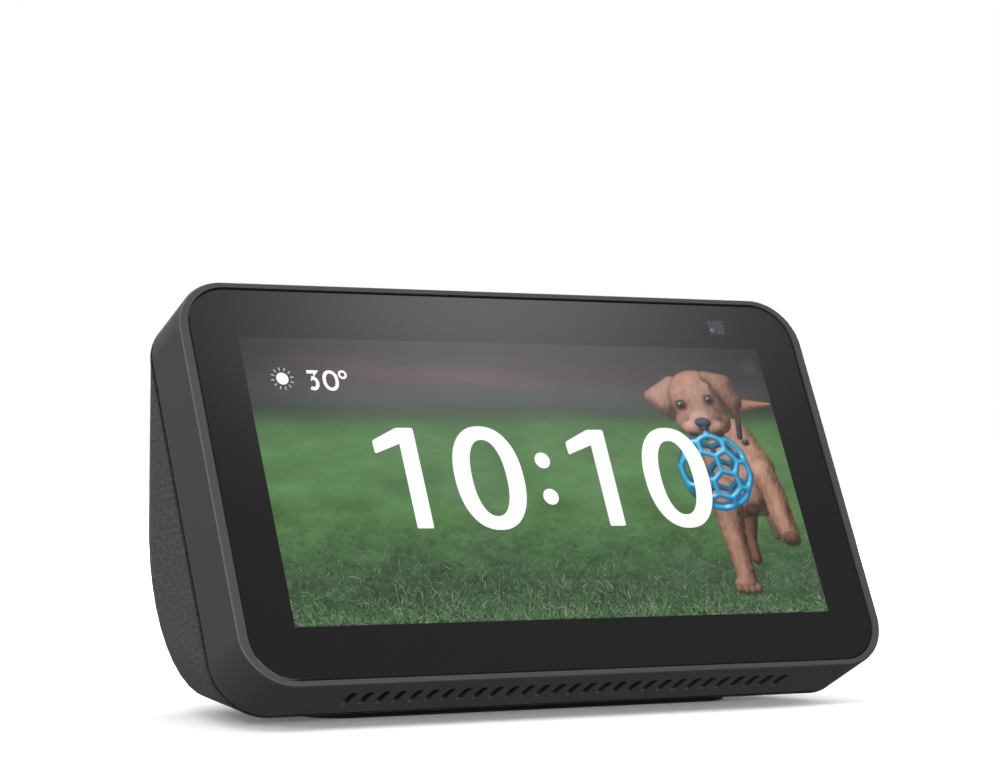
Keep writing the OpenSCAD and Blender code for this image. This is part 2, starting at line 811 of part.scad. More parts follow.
// Power socket body with its bore
module power_jack() {
    color([0.1, 0.1, 0.11]) difference() {
        translate([jack_x - jack_w / 2, io_y - jack_l, io_top]) cube([jack_w, jack_l, jack_h]);
        facing_back(jack_x, io_y - 10, jack_z) cylinder(h = 12, r = jack_bore_r);
    }
}

// Centre pin of the power socket
module power_jack_pin() {
    color([0.8, 0.65, 0.3]) facing_back(jack_x, io_y - 10, jack_z) cylinder(h = 9, r = jack_pin_r);
}

// Metal shell of the data socket
module usb_socket() {
    color([0.75, 0.76, 0.78]) difference() {
        translate([usb_x - usb_w / 2, io_y - usb_l, io_top]) cube([usb_w, usb_l, usb_h]);
        translate([usb_x - usb_w / 2 + usb_wall, io_y - usb_l + usb_wall, io_top + usb_wall])
            cube([usb_w - 2 * usb_wall, usb_l, usb_h - 2 * usb_wall]);
    }
}

// Contact tongue inside the data socket
module usb_tongue() {
    color([0.1, 0.1, 0.1]) translate([usb_x - 1.9, io_y - usb_l + usb_wall, usb_z - 0.1])
        cube([3.8, usb_l - 1.2, 0.6]);
}

// Outline of the socket recess, carried along Y between two places
module port_prism(grow, from_y, to_y) {
    facing_back(io_x, from_y, port_z) linear_extrude(to_y - from_y)
        rounded_rect(port_w + 2 * grow, port_h + 2 * grow, port_r + grow);
}

// Recessed panel round the sockets, flush with the fabric
module port_panel() {
    color([0.14, 0.14, 0.15]) difference() {
        intersection() {
            port_prism(0, port_inner, body_d);
            rear_form(0.3);
        }
        port_prism(-port_wall, port_inner + port_floor_t, body_d + 1);
        facing_back(jack_x, port_inner - 1, jack_z) cylinder(h = port_floor_t + 2, r = jack_bore_r + 1);
        translate([usb_x - usb_w / 2 - 0.4, port_inner - 1, io_top - 0.3])
            cube([usb_w + 0.8, port_floor_t + 2, usb_h + 0.6]);
    }
}

// Rounded plate lying level on the base, between two heights
module base_slab(w, d, r, bottom, top) {
    translate([0, base_y, 0]) slab(w, d, r, bottom, top);
}

// Slots through the back of the rear shell that let the sound out under the fabric
module sound_cutters() {
    bar = 4.4;
    for (i = [-3 : 3]) {
        half = sqrt(pow(driver_r, 2) - pow(i * bar, 2));
        on_speaker() translate([0, i * bar, 2]) linear_extrude(30) rounded_rect(2 * half, 2.2, 1.05);
    }
}

// Rear shell: wall, floor, bosses and openings
module rear_shell() {
    color([0.22, 0.22, 0.23]) difference() {
        union() {
            difference() {
                rear_form(shell_out);
                rear_form(shell_in, 2);
            }
            intersection() {
                rear_form(shell_out + 0.4);
                union() {
                    translate([0, 0, (plate_top + fit + floor_top) / 2])
                        cube([body_w, body_d, floor_t], center = true);
                    on_face() four(corner_screw_x, corner_screw_y)
                        rod(0, 0, corner_boss_r, rear_n - corner_grip - corner_floor, rear_n);
                    translate([0, base_y, 0]) four(base_screw_x, base_screw_y)
                        rod(0, 0, base_boss_r, floor_top - 0.2, floor_top + base_boss_h);
                    for (x = [-1, 1])
                        translate([io_x + x * (io_w / 2 - 2.4), io_y - io_d + 2.6, floor_top - 0.2])
                            cylinder(h = io_bottom - floor_top + 0.2, r = 2.2);
                    for (side = [-1, 1]) on_speaker()
                        rod(side * (ear_x + 1.5), 0, 3, ear_front + fit, 20);
                }
            }
        }
        base_slab(plate_w + 2 * skin_gap, plate_d + 2 * skin_gap, plate_r, -1, plate_top + fit);
        port_prism(fit, port_inner - 3, body_d);
        sound_cutters();
        on_face() four(corner_screw_x, corner_screw_y) rod(0, 0, 1 + fit, rear_n - corner_grip, rear_n + 1);
        translate([0, base_y, 0]) four(base_screw_x, base_screw_y)
            rod(0, 0, 1.2 + fit, plate_bottom, floor_top + base_boss_h - 0.8);
        for (x = [-1, 1])
            translate([io_x + x * (io_w / 2 - 2.4), io_y - io_d + 2.6, floor_top])
                cylinder(h = 20, r = 0.8 + fit);
        for (side = [-1, 1]) on_speaker()
            rod(side * (ear_x + 1.5), 0, 1 + fit, ear_front - 1, ear_front + 7);
    }
}

// Fabric cover stretched over the rear shell
module fabric_cover() {
    color([0.24, 0.24, 0.25]) difference() {
        rear_form(0);
        rear_form(fabric_t, 2);
        base_slab(plate_w + 4 * skin_gap, plate_d + 4 * skin_gap, plate_r, -1, plate_top + 2);
        port_prism(skin_gap, port_inner - 3, body_d);
    }
}

// Dark gasket in the groove between the housing and the rear shell
module seam_gasket() {
    groove_in = 0.8;
    color([0.05, 0.05, 0.05]) on_face() difference() {
        slab(body_w - 2 * groove_in, face_h - 2 * groove_in, corner_r - groove_in, rear_n, seam_n);
        slab(body_w - 2 * shell_in, face_h - 2 * shell_in, corner_r - shell_in, rear_n - 1, seam_n + 1);
        four(corner_screw_x, corner_screw_y) rod(0, 0, 1.2, rear_n - 1, seam_n + 1);
    }
}

// Base plate under the rear shell, with a recess for the foot and four sunk screws
module base_plate() {
    color([0.13, 0.13, 0.14]) difference() {
        base_slab(plate_w, plate_d, plate_r, plate_bottom, plate_top);
        base_slab(foot_w + 2 * skin_gap, foot_d + 2 * skin_gap, 8, plate_bottom - 1, foot_t);
        translate([0, base_y, 0]) four(base_screw_x, base_screw_y) {
            rod(0, 0, 2.4, foot_t - 1, foot_t + 1.3);
            rod(0, 0, 1.3, foot_t, plate_top + 1);
        }
    }
}

// Rubber foot
module rubber_foot() {
    color([0.07, 0.07, 0.07]) base_slab(foot_w, foot_d, 8, 0, foot_t);
}

// Screws through the base plate into the rear shell
module base_screws() {
    shank = 5.4;
    color([0.6, 0.6, 0.62]) translate([0, base_y, foot_t + 1.3]) four(base_screw_x, base_screw_y)
        mirror([0, 0, 1]) screw(1.2, 2.2, 1.2, shank);
}

// Screws from the front of the housing into the rear shell
module housing_screws() {
    shank = corner_seat - rear_n + corner_grip - 0.4;
    color([0.6, 0.6, 0.62]) on_face() four(corner_screw_x, corner_screw_y)
        translate([0, 0, corner_seat]) screw(1, corner_head_r, 1.2, shank);
}

// Screws that hold the display bracket
module bracket_screws() {
    color([0.6, 0.6, 0.62]) on_face() four(ear_screw_x, ear_screw_y)
        translate([0, 0, bracket_back]) mirror([0, 0, 1]) screw(0.8, 1.5, 0.8, 2);
}

// Screws that hold the main board to the stand-offs
module board_screws() {
    color([0.6, 0.6, 0.62]) on_face() translate([board_x, board_y, board_back])
        four(board_hole_x, board_hole_y) mirror([0, 0, 1]) screw(0.8, 1.6, 0.8, board_t + standoff_l);
}

// Screws that hold the button board
module button_board_screws() {
    color([0.6, 0.6, 0.62]) on_top() for (side = [-1, 1])
        translate([side * button_screw_x, wall_depth, button_board_top - button_board_t])
            mirror([0, 0, 1]) screw(0.8, 1.5, 0.8, 4);
}

// Screws that hold the loudspeaker to the cabinet
module speaker_screws() {
    color([0.6, 0.6, 0.62]) on_speaker() four(driver_screw, driver_screw) screw(0.9, 1.7, 0.9, 4);
}

// Screws that hold the cabinet's ears
module speaker_box_screws() {
    color([0.6, 0.6, 0.62]) on_speaker() for (side = [-1, 1])
        translate([side * (ear_x + 1.5), 0, ear_front - ear_t]) mirror([0, 0, 1]) screw(1, 2, 1.1, 7);
}

// Screws that hold the socket board
module io_board_screws() {
    color([0.6, 0.6, 0.62]) for (x = [-1, 1])
        translate([io_x + x * (io_w / 2 - 2.4), io_y - io_d + 2.6, io_top]) screw(0.8, 1.6, 0.8, 6);
}

front_glass();
front_housing();
display_panel();
display_backlight();
display_bracket();
glass_gasket();
slot_mesh();
display_flex();
camera_module();
camera_lens();
camera_flex();
light_sensor();
shutter_knob();
shutter_blade();
mute_button();
volume_down_button();
volume_up_button();
tact_switches();
button_board();
button_flex();
microphones();
microphone_gaskets();
main_board();
shield_cans();
thermal_pads();
heat_spreader();
board_connectors();
wifi_antennas();
speaker_box();
speaker_box_lid();
speaker_basket();
speaker_magnet();
speaker_surround();
speaker_cone();
dust_cap();
voice_coil();
speaker_gasket();
speaker_lead();
io_board();
io_ribbon();
power_jack();
power_jack_pin();
usb_socket();
usb_tongue();
port_panel();
rear_shell();
fabric_cover();
seam_gasket();
base_plate();
rubber_foot();
base_screws();
housing_screws();
bracket_screws();
board_screws();
button_board_screws();
speaker_screws();
speaker_box_screws();
io_board_screws();
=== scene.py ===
"""Smart display with a leaning screen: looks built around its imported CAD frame.

Lengths in this file are millimetres, apart from finished meshes, which are in
metres in the frame's own axes: +Z up, the screen towards -Y, +X to the right of
someone facing the screen. The screen face has axes of its own: x to the right,
v up the face, n out of it, with zero at the middle of the rim.
"""

import json
import logging
import math
from dataclasses import dataclass
from enum import Enum
from typing import Callable, Iterable, Optional, Sequence

import bmesh
import bpy
import numpy as np
from mathutils import Matrix, Vector


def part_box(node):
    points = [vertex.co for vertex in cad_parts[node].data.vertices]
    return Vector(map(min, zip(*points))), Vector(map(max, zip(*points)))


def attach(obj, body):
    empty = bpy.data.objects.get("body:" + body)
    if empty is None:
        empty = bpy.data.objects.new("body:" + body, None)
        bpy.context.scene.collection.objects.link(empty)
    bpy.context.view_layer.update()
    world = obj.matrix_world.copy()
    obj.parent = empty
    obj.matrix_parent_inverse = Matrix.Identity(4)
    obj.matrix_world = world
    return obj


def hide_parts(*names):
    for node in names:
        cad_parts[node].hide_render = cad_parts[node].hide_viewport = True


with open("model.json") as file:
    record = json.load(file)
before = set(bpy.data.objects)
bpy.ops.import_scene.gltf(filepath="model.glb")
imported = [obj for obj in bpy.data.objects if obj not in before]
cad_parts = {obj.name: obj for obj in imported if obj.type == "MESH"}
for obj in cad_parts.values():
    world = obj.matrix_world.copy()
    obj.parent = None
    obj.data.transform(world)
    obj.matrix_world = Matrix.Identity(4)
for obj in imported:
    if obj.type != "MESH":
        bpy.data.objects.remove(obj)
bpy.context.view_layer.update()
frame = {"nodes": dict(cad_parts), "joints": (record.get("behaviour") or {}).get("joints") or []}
MM = 0.001
BODY = "body"
# Corners of the CAD shape nearer than this to a plane, in millimetres, lie on it
NEAR = 0.02
# Points nearer than this are the same
SAME = 2e-6
# Bands that a wave texture draws across one unit at scale 1
WAVE_BANDS = 3.18
LOG = logging.getLogger("smart_display")


def linear(hex_colour: str) -> tuple:
    """Turns an sRGB hex colour into linear light.

    Args:
        hex_colour: Six hex digits with a leading #.

    Returns:
        Linear red, green, blue and an alpha of 1.
    """
    parts = [int(hex_colour[i : i + 2], 16) / 255 for i in (1, 3, 5)]
    light = [c / 12.92 if c <= 0.04045 else ((c + 0.055) / 1.055) ** 2.4 for c in parts]
    return (*light, 1.0)


def feed(tree: bpy.types.NodeTree, node: bpy.types.Node, sockets: dict) -> None:
    """Sets or links a node's inputs.

    Args:
        tree: Node tree of the node.
        node: Node to fill.
        sockets: Input name or index, to a value or to an output socket to link.
    """
    for key, value in sockets.items():
        if isinstance(value, bpy.types.NodeSocket):
            tree.links.new(value, node.inputs[key])
        else:
            node.inputs[key].default_value = value


def add(
    tree: bpy.types.NodeTree, kind: str, sockets: Optional[dict] = None, **settings
) -> bpy.types.Node:
    """Adds a shader node with its settings, values and links.

    Args:
        tree: Node tree that gets the node.
        kind: Node type name.
        sockets: Input name or index, to a value or to an output socket to link.
        **settings: Attributes of the node.

    Returns:
        The new node.
    """
    made = tree.nodes.new(kind)
    for key, value in settings.items():
        setattr(made, key, value)
    feed(tree, made, sockets or {})
    return made


def blank(name: str) -> tuple:
    """Makes a material with only its principled shader.

    Args:
        name: Name of the material.

    Returns:
        The material, its node tree and the shader.
    """
    made = bpy.data.materials.new(name)
    made.use_nodes = True
    return made, made.node_tree, made.node_tree.nodes["Principled BSDF"]


def placed(name: str, data: bpy.types.ID) -> bpy.types.Object:
    """Puts a mesh, lamp or camera in the scene and returns its object."""
    made = bpy.data.objects.new(name, data)
    bpy.context.scene.collection.objects.link(made)
    return made


def as_mesh(name: str, mesh: bmesh.types.BMesh) -> bpy.types.Mesh:
    """Turns a built mesh into mesh data and frees it."""
    data = bpy.data.meshes.new(name)
    mesh.to_mesh(data)
    mesh.free()
    return data


def turn_faces(mesh: bmesh.types.BMesh, way: Vector) -> None:
    """Turns the faces of a flat piece to look along a direction."""
    turned = [f for f in mesh.faces if f.normal.dot(way) < 0]
    bmesh.ops.reverse_faces(mesh, faces=turned)


def aimed(spot: Sequence[float], aim: Sequence[float]) -> Matrix:
    """Returns the matrix of a lamp or camera at one place that points at another."""
    turn = (Vector(aim) - Vector(spot)).to_track_quat("-Z", "Y")
    return Matrix.Translation(spot) @ turn.to_matrix().to_4x4()


class Face:
    """Axes of the screen face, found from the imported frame."""

    def __init__(self) -> None:
        """Reads the press direction of a button and the housing's front."""
        press = next(j for j in frame["joints"] if j["name"] == "mute_button_press")
        self.right = Vector((1.0, 0.0, 0.0))
        self.up = -Vector(press["axis"]).normalized()
        self.normal = Vector((0.0, -self.up.z, self.up.y))
        low, high = self.span("front_housing", self.up)
        self.front = self.span("front_housing", self.normal)[1]
        self.origin = self.up * (low + high) / 2 + self.normal * self.front
        self.height = (high - low) / MM
        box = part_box("front_housing")
        self.width = (box[1].x - box[0].x) / MM

    @staticmethod
    def span(node: str, axis: Vector) -> tuple:
        """Returns the lowest and highest reach of a CAD node along an axis, in metres."""
        reach = [v.co.dot(axis) for v in frame["nodes"][node].data.vertices]
        return min(reach), max(reach)

    def depths(self, node: str) -> tuple:
        """Returns the back and front of a CAD node square to the face, in millimetres."""
        back, front = self.span(node, self.normal)
        return (back - self.front) / MM, (front - self.front) / MM

    def middle(self, node: str) -> Vector:
        """Returns the middle of a CAD node's box as x, v, n in millimetres."""
        low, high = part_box(node)
        return self.matrix().inverted() @ ((low + high) / 2)

    def matrix(self) -> Matrix:
        """Returns the matrix from x, v, n in millimetres to the frame in metres."""
        axes = Matrix((self.right, self.up, self.normal)).transposed() * MM
        return Matrix.Translation(self.origin) @ axes.to_4x4()

    def place(self, mesh: bmesh.types.BMesh) -> None:
        """Moves a mesh from the face's own axes to the frame."""
        bmesh.ops.transform(mesh, matrix=self.matrix(), verts=mesh.verts)


class Pattern(Enum):
    """Ways that a surface was made, which set its relief."""

    GRAIN = "moulded grain"
    BRUSHED = "drawn or brushed lines"
    WOUND = "wire laid side by side"
    CELLS = "foam or cast cells"
    WOVEN = "fine woven wire or cloth"
    TRACES = "copper tracks under lacquer"
    PRESSED = "felted pulp"


@dataclass(frozen=True)
class Finish:
    """A real material with the relief and the colour drift of its surface.

    Attributes:
        name: Common name and surface process.
        colour: Main colour, sRGB hex.
        drift: Colour that it drifts to, sRGB hex.
        rough: Middle roughness.
        grain_mm: Size of one grain, thread or line.
        relief_mm: Height of the relief.
        pattern: How the surface was made.
        metallic: 1 for bare metal.
        ior: Index of refraction, for what isn't metal.
        swing: How far the roughness drifts each way.
        patch_mm: Size of the patches that colour and roughness drift over.
        coat: Clear lacquer on top.
    """

    name: str
    colour: str
    drift: str
    rough: float
    grain_mm: float
    relief_mm: float
    pattern: Pattern = Pattern.GRAIN
    metallic: float = 0.0
    ior: float = 1.5
    swing: float = 0.05
    patch_mm: float = 9.0
    coat: float = 0.0

    def relief(self, tree: bpy.types.NodeTree, place: bpy.types.NodeSocket) -> bpy.types.NodeSocket:
        """Builds the height pattern.

        Args:
            tree: Node tree of the material.
            place: Position in millimetres.

        Returns:
            A socket with the height from 0 to 1.
        """
        rate = 1.0 / self.grain_mm
        if self.pattern is Pattern.BRUSHED:
            slim = add(tree, "ShaderNodeMapping", {"Vector": place, "Scale": (0.04, 1.0, 1.0)})
            lines = {"Vector": slim.outputs[0], "Scale": rate, "Detail": 3.0}
            return add(tree, "ShaderNodeTexNoise", lines).outputs[0]
        if self.pattern is Pattern.WOUND:
            turns = {"Vector": place, "Scale": rate / WAVE_BANDS, "Distortion": 0.2}
            return add(tree, "ShaderNodeTexWave", turns, bands_direction="Y").outputs["Fac"]
        if self.pattern is Pattern.CELLS:
            cells = {"Vector": place, "Scale": rate, "Smoothness": 0.4}
            return add(tree, "ShaderNodeTexVoronoi", cells, feature="SMOOTH_F1").outputs["Distance"]
        if self.pattern is Pattern.WOVEN:
            bands = {"Vector": place, "Scale": rate / WAVE_BANDS}
            warp, weft = [
                add(tree, "ShaderNodeTexWave", bands, bands_direction=d).outputs["Fac"]
                for d in ("X", "DIAGONAL")
            ]
            both = {0: warp, 1: weft}
            return add(tree, "ShaderNodeMath", both, operation="MULTIPLY").outputs[0]
        if self.pattern is Pattern.TRACES:
            tracks = {"Vector": place, "Scale": rate, "Mortar Size": 0.06, "Brick Width": 2.6}
            return add(tree, "ShaderNodeTexBrick", tracks).outputs["Fac"]
        detail = 6.0 if self.pattern is Pattern.PRESSED else 2.0
        grain = {"Vector": place, "Scale": rate, "Detail": detail}
        return add(tree, "ShaderNodeTexNoise", grain).outputs[0]

    def material(self) -> bpy.types.Material:
        """Returns the finish as a material, made once."""
        name = self.name.replace(" ", "_").replace(",", "")
        ready = bpy.data.materials.get(name)
        if ready:
            return ready
        made, tree, shader = blank(name)
        coords = add(tree, "ShaderNodeTexCoord")
        size = {"Vector": coords.outputs["Object"], "Scale": (1 / MM, 1 / MM, 1 / MM)}
        place = add(tree, "ShaderNodeMapping", size).outputs[0]
        height = self.relief(tree, place)
        wide = {"Vector": place, "Scale": 1 / self.patch_mm, "Detail": 4.0}
        patch = add(tree, "ShaderNodeTexNoise", wide)
        share = add(tree, "ShaderNodeMath", {0: patch.outputs[0], 1: height}, operation="ADD")
        half = add(tree, "ShaderNodeMath", {0: share.outputs[0], 1: 0.5}, operation="MULTIPLY")
        tones = {0: half.outputs[0], 6: linear(self.colour), 7: linear(self.drift)}
        mix = add(tree, "ShaderNodeMix", tones, data_type="RGBA")
        span = {
            "Value": patch.outputs[0], "From Min": 0.3, "From Max": 0.7,
            "To Min": max(self.rough - self.swing, 0.02),
            "To Max": min(self.rough + self.swing, 1.0),
        }
        rough = add(tree, "ShaderNodeMapRange", span)
        depth = {"Height": height, "Distance": self.relief_mm * MM, "Strength": 1.0}
        bump = add(tree, "ShaderNodeBump", depth)
        feed(tree, shader, {
            "Base Color": mix.outputs[2], "Roughness": rough.outputs[0], "Normal": bump.outputs[0],
            "Metallic": self.metallic, "Coat Weight": self.coat,
        })
        if not self.metallic:
            feed(tree, shader, {"IOR": self.ior})
        return made


# Moulded ABS with a fine spark-eroded grain: a soft grey sheen along every edge
HOUSING = Finish("ABS fine grain", "#3c3c3e", "#434345", 0.42, 0.16, 0.004, swing=0.04)
# The same ABS, polished smoother where fingers meet it
BUTTON = Finish("ABS satin", "#333335", "#3b3b3d", 0.36, 0.12, 0.002)
# Glass-filled nylon of hidden frames and lids: duller, with a coarser grain
FRAME_PLASTIC = Finish("glass filled nylon moulded", "#232325", "#2d2d2f", 0.6, 0.35, 0.01)
# Screen glass painted black behind: deep and even, with a mirror surface
BLACK_GLASS = Finish(
    "soda lime glass back painted", "#0b0b0c", "#0d0d0e", 0.045, 0.9, 0.0, swing=0.01, ior=1.52
)
# Clear window in the black paint, a shade lighter with the camera's dark behind it
WINDOW_GLASS = Finish(
    "soda lime glass clear", "#2b2c30", "#34353a", 0.05, 0.9, 0.0, swing=0.01, ior=1.52
)
# Thin film on a lens: a dark eye that turns from blue to violet
LENS_COAT = Finish(
    "coated lens glass", "#1c2444", "#4a5490", 0.04, 0.4, 0.0,
    swing=0.01, ior=1.7, patch_mm=1.0, coat=1.0,
)
# Turned and anodised: fine rings that catch a grey light
LENS_RING = Finish(
    "black anodised aluminium ring", "#55565b", "#67686d", 0.35, 0.05, 0.001, Pattern.BRUSHED
)
# Ink with no gloss: pale signs that stay readable in any light
PRINT = Finish("screen printed ink", "#a9aaac", "#b6b7b9", 0.6, 0.1, 0.002)
# Film over the cells: near black with a soft sheen
PANEL = Finish("polarising film", "#17191c", "#1f2226", 0.25, 0.3, 0.0005)
# Milky film that spreads light: cool white, even and dull
BACKLIGHT = Finish("white light guide film", "#dfe3e8", "#f0f2f4", 0.5, 0.4, 0.002)
# Rolled sheet with a zinc skin: pale grey, with fine lines one way
STEEL = Finish(
    "zinc plated steel rolled", "#b3b6ba", "#9fa3a8", 0.34, 0.08, 0.002, Pattern.BRUSHED, 1.0
)
# Thin cans dipped in tin: bright, with a slight ripple from the press
TINNED = Finish("tinned steel pressed", "#c9cbce", "#b2b5b9", 0.28, 0.5, 0.003, metallic=1.0)
# Baked powder: black orange peel with a dull shine
BASKET = Finish("black powder coated steel", "#1d1d1f", "#28282b", 0.55, 0.25, 0.012, Pattern.CELLS)
# Plated over turned iron: darker than zinc, with fine lines
MAGNET = Finish(
    "nickel plated iron", "#8f9296", "#a4a7ab", 0.3, 0.12, 0.001, Pattern.BRUSHED, 1.0
)
# Bare plate, brushed: bright and streaked along its length
SPREADER = Finish(
    "aluminium brushed", "#c4c7ca", "#b4b7ba", 0.35, 0.1, 0.002, Pattern.BRUSHED, 1.0
)
# Turned on a lathe: yellow, with bright fine lines
BRASS = Finish("brass turned", "#c9a45a", "#b8924a", 0.25, 0.08, 0.001, Pattern.BRUSHED, 1.0)
# Enamelled wire laid turn by turn: red copper with a rib at each turn
COIL = Finish(
    "enamelled copper wire wound", "#b3622d", "#c7743a", 0.3, 0.18, 0.05, Pattern.WOUND, 1.0
)
# Etched foil: bare pink copper, almost smooth
COPPER = Finish("copper foil etched", "#bd7a4c", "#c88a5c", 0.35, 0.3, 0.002, metallic=1.0)
# Lacquer over tracks: glossy green with the tracks standing out under it
BOARD = Finish(
    "green solder lacquer", "#0f4a2a", "#1c6a3e", 0.32, 0.7, 0.02, Pattern.TRACES, coat=0.4
)
# Film with conductors inside: amber, ribbed along its length and shiny
FLEX = Finish(
    "amber polyimide film", "#b06a20", "#8f5318", 0.3, 0.5, 0.01, Pattern.WOUND, coat=0.3
)
# Moulded round each wire: pale, with a rib per wire
RIBBON = Finish("white ribbon cable", "#d8d8d4", "#bcbcb8", 0.45, 1.0, 0.06, Pattern.WOUND)
# Undyed nylon: warm white with a faint grain
CONNECTOR = Finish("ivory nylon moulded", "#dcd6c4", "#cfc8b4", 0.5, 0.3, 0.004)
# Cast filled silicone: dull blue grey that looks soft
GEL = Finish("thermal gap pad", "#8f9db5", "#7c8aa3", 0.8, 0.25, 0.01, Pattern.CELLS)
# Cut foam: black and pitted, with no shine
FOAM = Finish("black closed cell foam", "#111112", "#1b1b1c", 0.9, 0.35, 0.04, Pattern.CELLS)
# Fine woven net: black and dull, its threads drawn about twice as coarse as real to show
DUST_MESH = Finish(
    "black woven polyester mesh", "#060607", "#141415", 0.8, 0.3, 0.03, Pattern.WOVEN
)
# Twisted yarn with a rib at each twist, made the blackest piece of all: partly the thread's own
# black, partly painted shade of the gap at the seam
SEAM_SHADE_THREAD = Finish(
    "black polyester thread twisted", "#040404", "#0c0c0d", 0.9, 0.2, 0.01, Pattern.WOUND
)
# Felted fibre: soft black, with short hairs pressed flat
CONE = Finish("pressed paper pulp", "#1a1a1b", "#262627", 0.8, 0.5, 0.03, Pattern.PRESSED)
# Rubber from a matt mould: black with hardly a highlight
RUBBER = Finish("silicone rubber moulded", "#151516", "#1e1e1f", 0.75, 0.4, 0.008)
# Slippery plastic: warm white with a waxy shine
SHUTTER = Finish("ivory acetal moulded", "#d9d6cc", "#cbc8be", 0.45, 0.3, 0.003)
# Drawn sleeve: even red with a soft shine
WIRE = Finish("red PVC sleeve extruded", "#8f1a18", "#a52a26", 0.4, 0.4, 0.003)
# Clear cast with a dark dye: smoky grey and glossy
SENSOR = Finish("tinted epoxy cast", "#3f3f47", "#4b4b55", 0.2, 0.5, 0.001)
# ABS from a coarse mould, hidden under the cloth: dull dark grey
SHELL = Finish("ABS coarse grain", "#26262a", "#303034", 0.6, 0.4, 0.01)

NODE_FINISH = {
    "display_panel": PANEL, "display_backlight": BACKLIGHT, "display_bracket": STEEL,
    "glass_gasket": FOAM, "slot_mesh": DUST_MESH, "display_flex": FLEX,
    "camera_module": FRAME_PLASTIC, "camera_lens": LENS_COAT, "camera_flex": FLEX,
    "light_sensor": SENSOR, "shutter_blade": SHUTTER, "tact_switches": TINNED,
    "button_board": BOARD, "button_flex": FLEX, "microphones": BRASS, "microphone_gaskets": FOAM,
    "main_board": BOARD, "shield_cans": TINNED, "thermal_pads": GEL, "heat_spreader": SPREADER,
    "board_connectors": CONNECTOR, "wifi_antennas": COPPER, "speaker_box": FRAME_PLASTIC,
    "speaker_box_lid": FRAME_PLASTIC, "speaker_basket": BASKET, "speaker_magnet": MAGNET,
    "speaker_surround": RUBBER, "speaker_cone": CONE, "dust_cap": CONE, "voice_coil": COIL,
    "speaker_gasket": FOAM, "speaker_lead": WIRE, "io_board": BOARD, "io_ribbon": RIBBON,
    "power_jack": FRAME_PLASTIC, "power_jack_pin": BRASS, "usb_socket": STEEL,
    "usb_tongue": FRAME_PLASTIC, "rear_shell": SHELL, "seam_gasket": FOAM, "base_screws": STEEL,
    "housing_screws": STEEL, "bracket_screws": STEEL, "board_screws": STEEL,
    "button_board_screws": STEEL, "speaker_screws": STEEL, "speaker_box_screws": STEEL,
    "io_board_screws": STEEL,
    # These ten are hidden by the pieces that stand for them
    "front_housing": HOUSING, "front_glass": HOUSING, "fabric_cover": HOUSING,
    "port_panel": HOUSING, "base_plate": HOUSING, "rubber_foot": HOUSING, "mute_button": BUTTON,
    "volume_down_button": BUTTON, "volume_up_button": BUTTON, "shutter_knob": BUTTON,
}


def level_shading(data: bpy.types.Mesh, crease_deg: float) -> None:
    """Weights the shading at each corner by the size of its faces, so flat faces stay flat.

    Args:
        data: Mesh to change.
        crease_deg: Faces that meet at more than this don't share shading.
    """
    limit = math.cos(math.radians(crease_deg))
    around = [[] for _ in data.vertices]
    for poly in data.polygons:
        for vert in poly.vertices:
            around[vert].append(poly.index)
    looks = [poly.normal.copy() for poly in data.polygons]
    sizes = [poly.area for poly in data.polygons]
    corners = []
    for poly in data.polygons:
        for vert in poly.vertices:
            total = Vector((0.0, 0.0, 0.0))
            for other in around[vert]:
                if looks[other].dot(looks[poly.index]) > limit:
                    total += looks[other] * sizes[other]
            corners.append(total.normalized())
    data.normals_split_custom_set(corners)


def finish_mesh(
    name: str,
    mesh: bmesh.types.BMesh,
    material: bpy.types.Material,
    body: str = BODY,
    crease_deg: float = 32.0,
    even: bool = False,
) -> bpy.types.Object:
    """Turns a built mesh, already in metres, into a piece of the object.

    Args:
        name: Name of the piece.
        mesh: The mesh, which is freed.
        material: Its finish.
        body: CAD body that it rides on.
        crease_deg: Edges sharper than this stay crisp.
        even: Keeps large flat faces flat beside their eased edges.

    Returns:
        The new object.
    """
    data = as_mesh(name, mesh)
    data.shade_smooth()
    data.set_sharp_from_angle(angle=math.radians(crease_deg))
    if even:
        level_shading(data, crease_deg)
    data.materials.append(material)
    piece = placed(name, data)
    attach(piece, body)
    LOG.info("%s: %d faces, rides on %s", name, len(data.polygons), body)
    return piece


def rounded_plate(
    width: float, height: float, radius: float, back: float, front: float,
    ease: float = 0.0, segments: int = 14,
) -> bmesh.types.BMesh:
    """Makes a plate with round corners and an eased front edge.

    Args:
        width: Size along x.
        height: Size along y.
        radius: Corner radius.
        back: Lower z.
        front: Upper z.
        ease: Size of the bevel round the front face.
        segments: Steps in each corner.

    Returns:
        The mesh in millimetres.
    """
    mesh = bmesh.new()
    size = Matrix.Diagonal((width, height, front - back, 1))
    place = Matrix.Translation((0, 0, (back + front) / 2)) @ size
    bmesh.ops.create_cube(mesh, size=1.0, matrix=place)
    uprights = [e for e in mesh.edges if abs(e.verts[0].co.z - e.verts[1].co.z) > SAME]
    bmesh.ops.bevel(
        mesh, geom=uprights, offset=radius, offset_type="OFFSET", segments=segments,
        profile=0.5, affect="EDGES", material=-1, clamp_overlap=True,
    )
    if ease > 0:
        ease_edges(mesh, ease, lambda e: all(abs(v.co.z - front) < SAME for v in e.verts), 3)
    return mesh


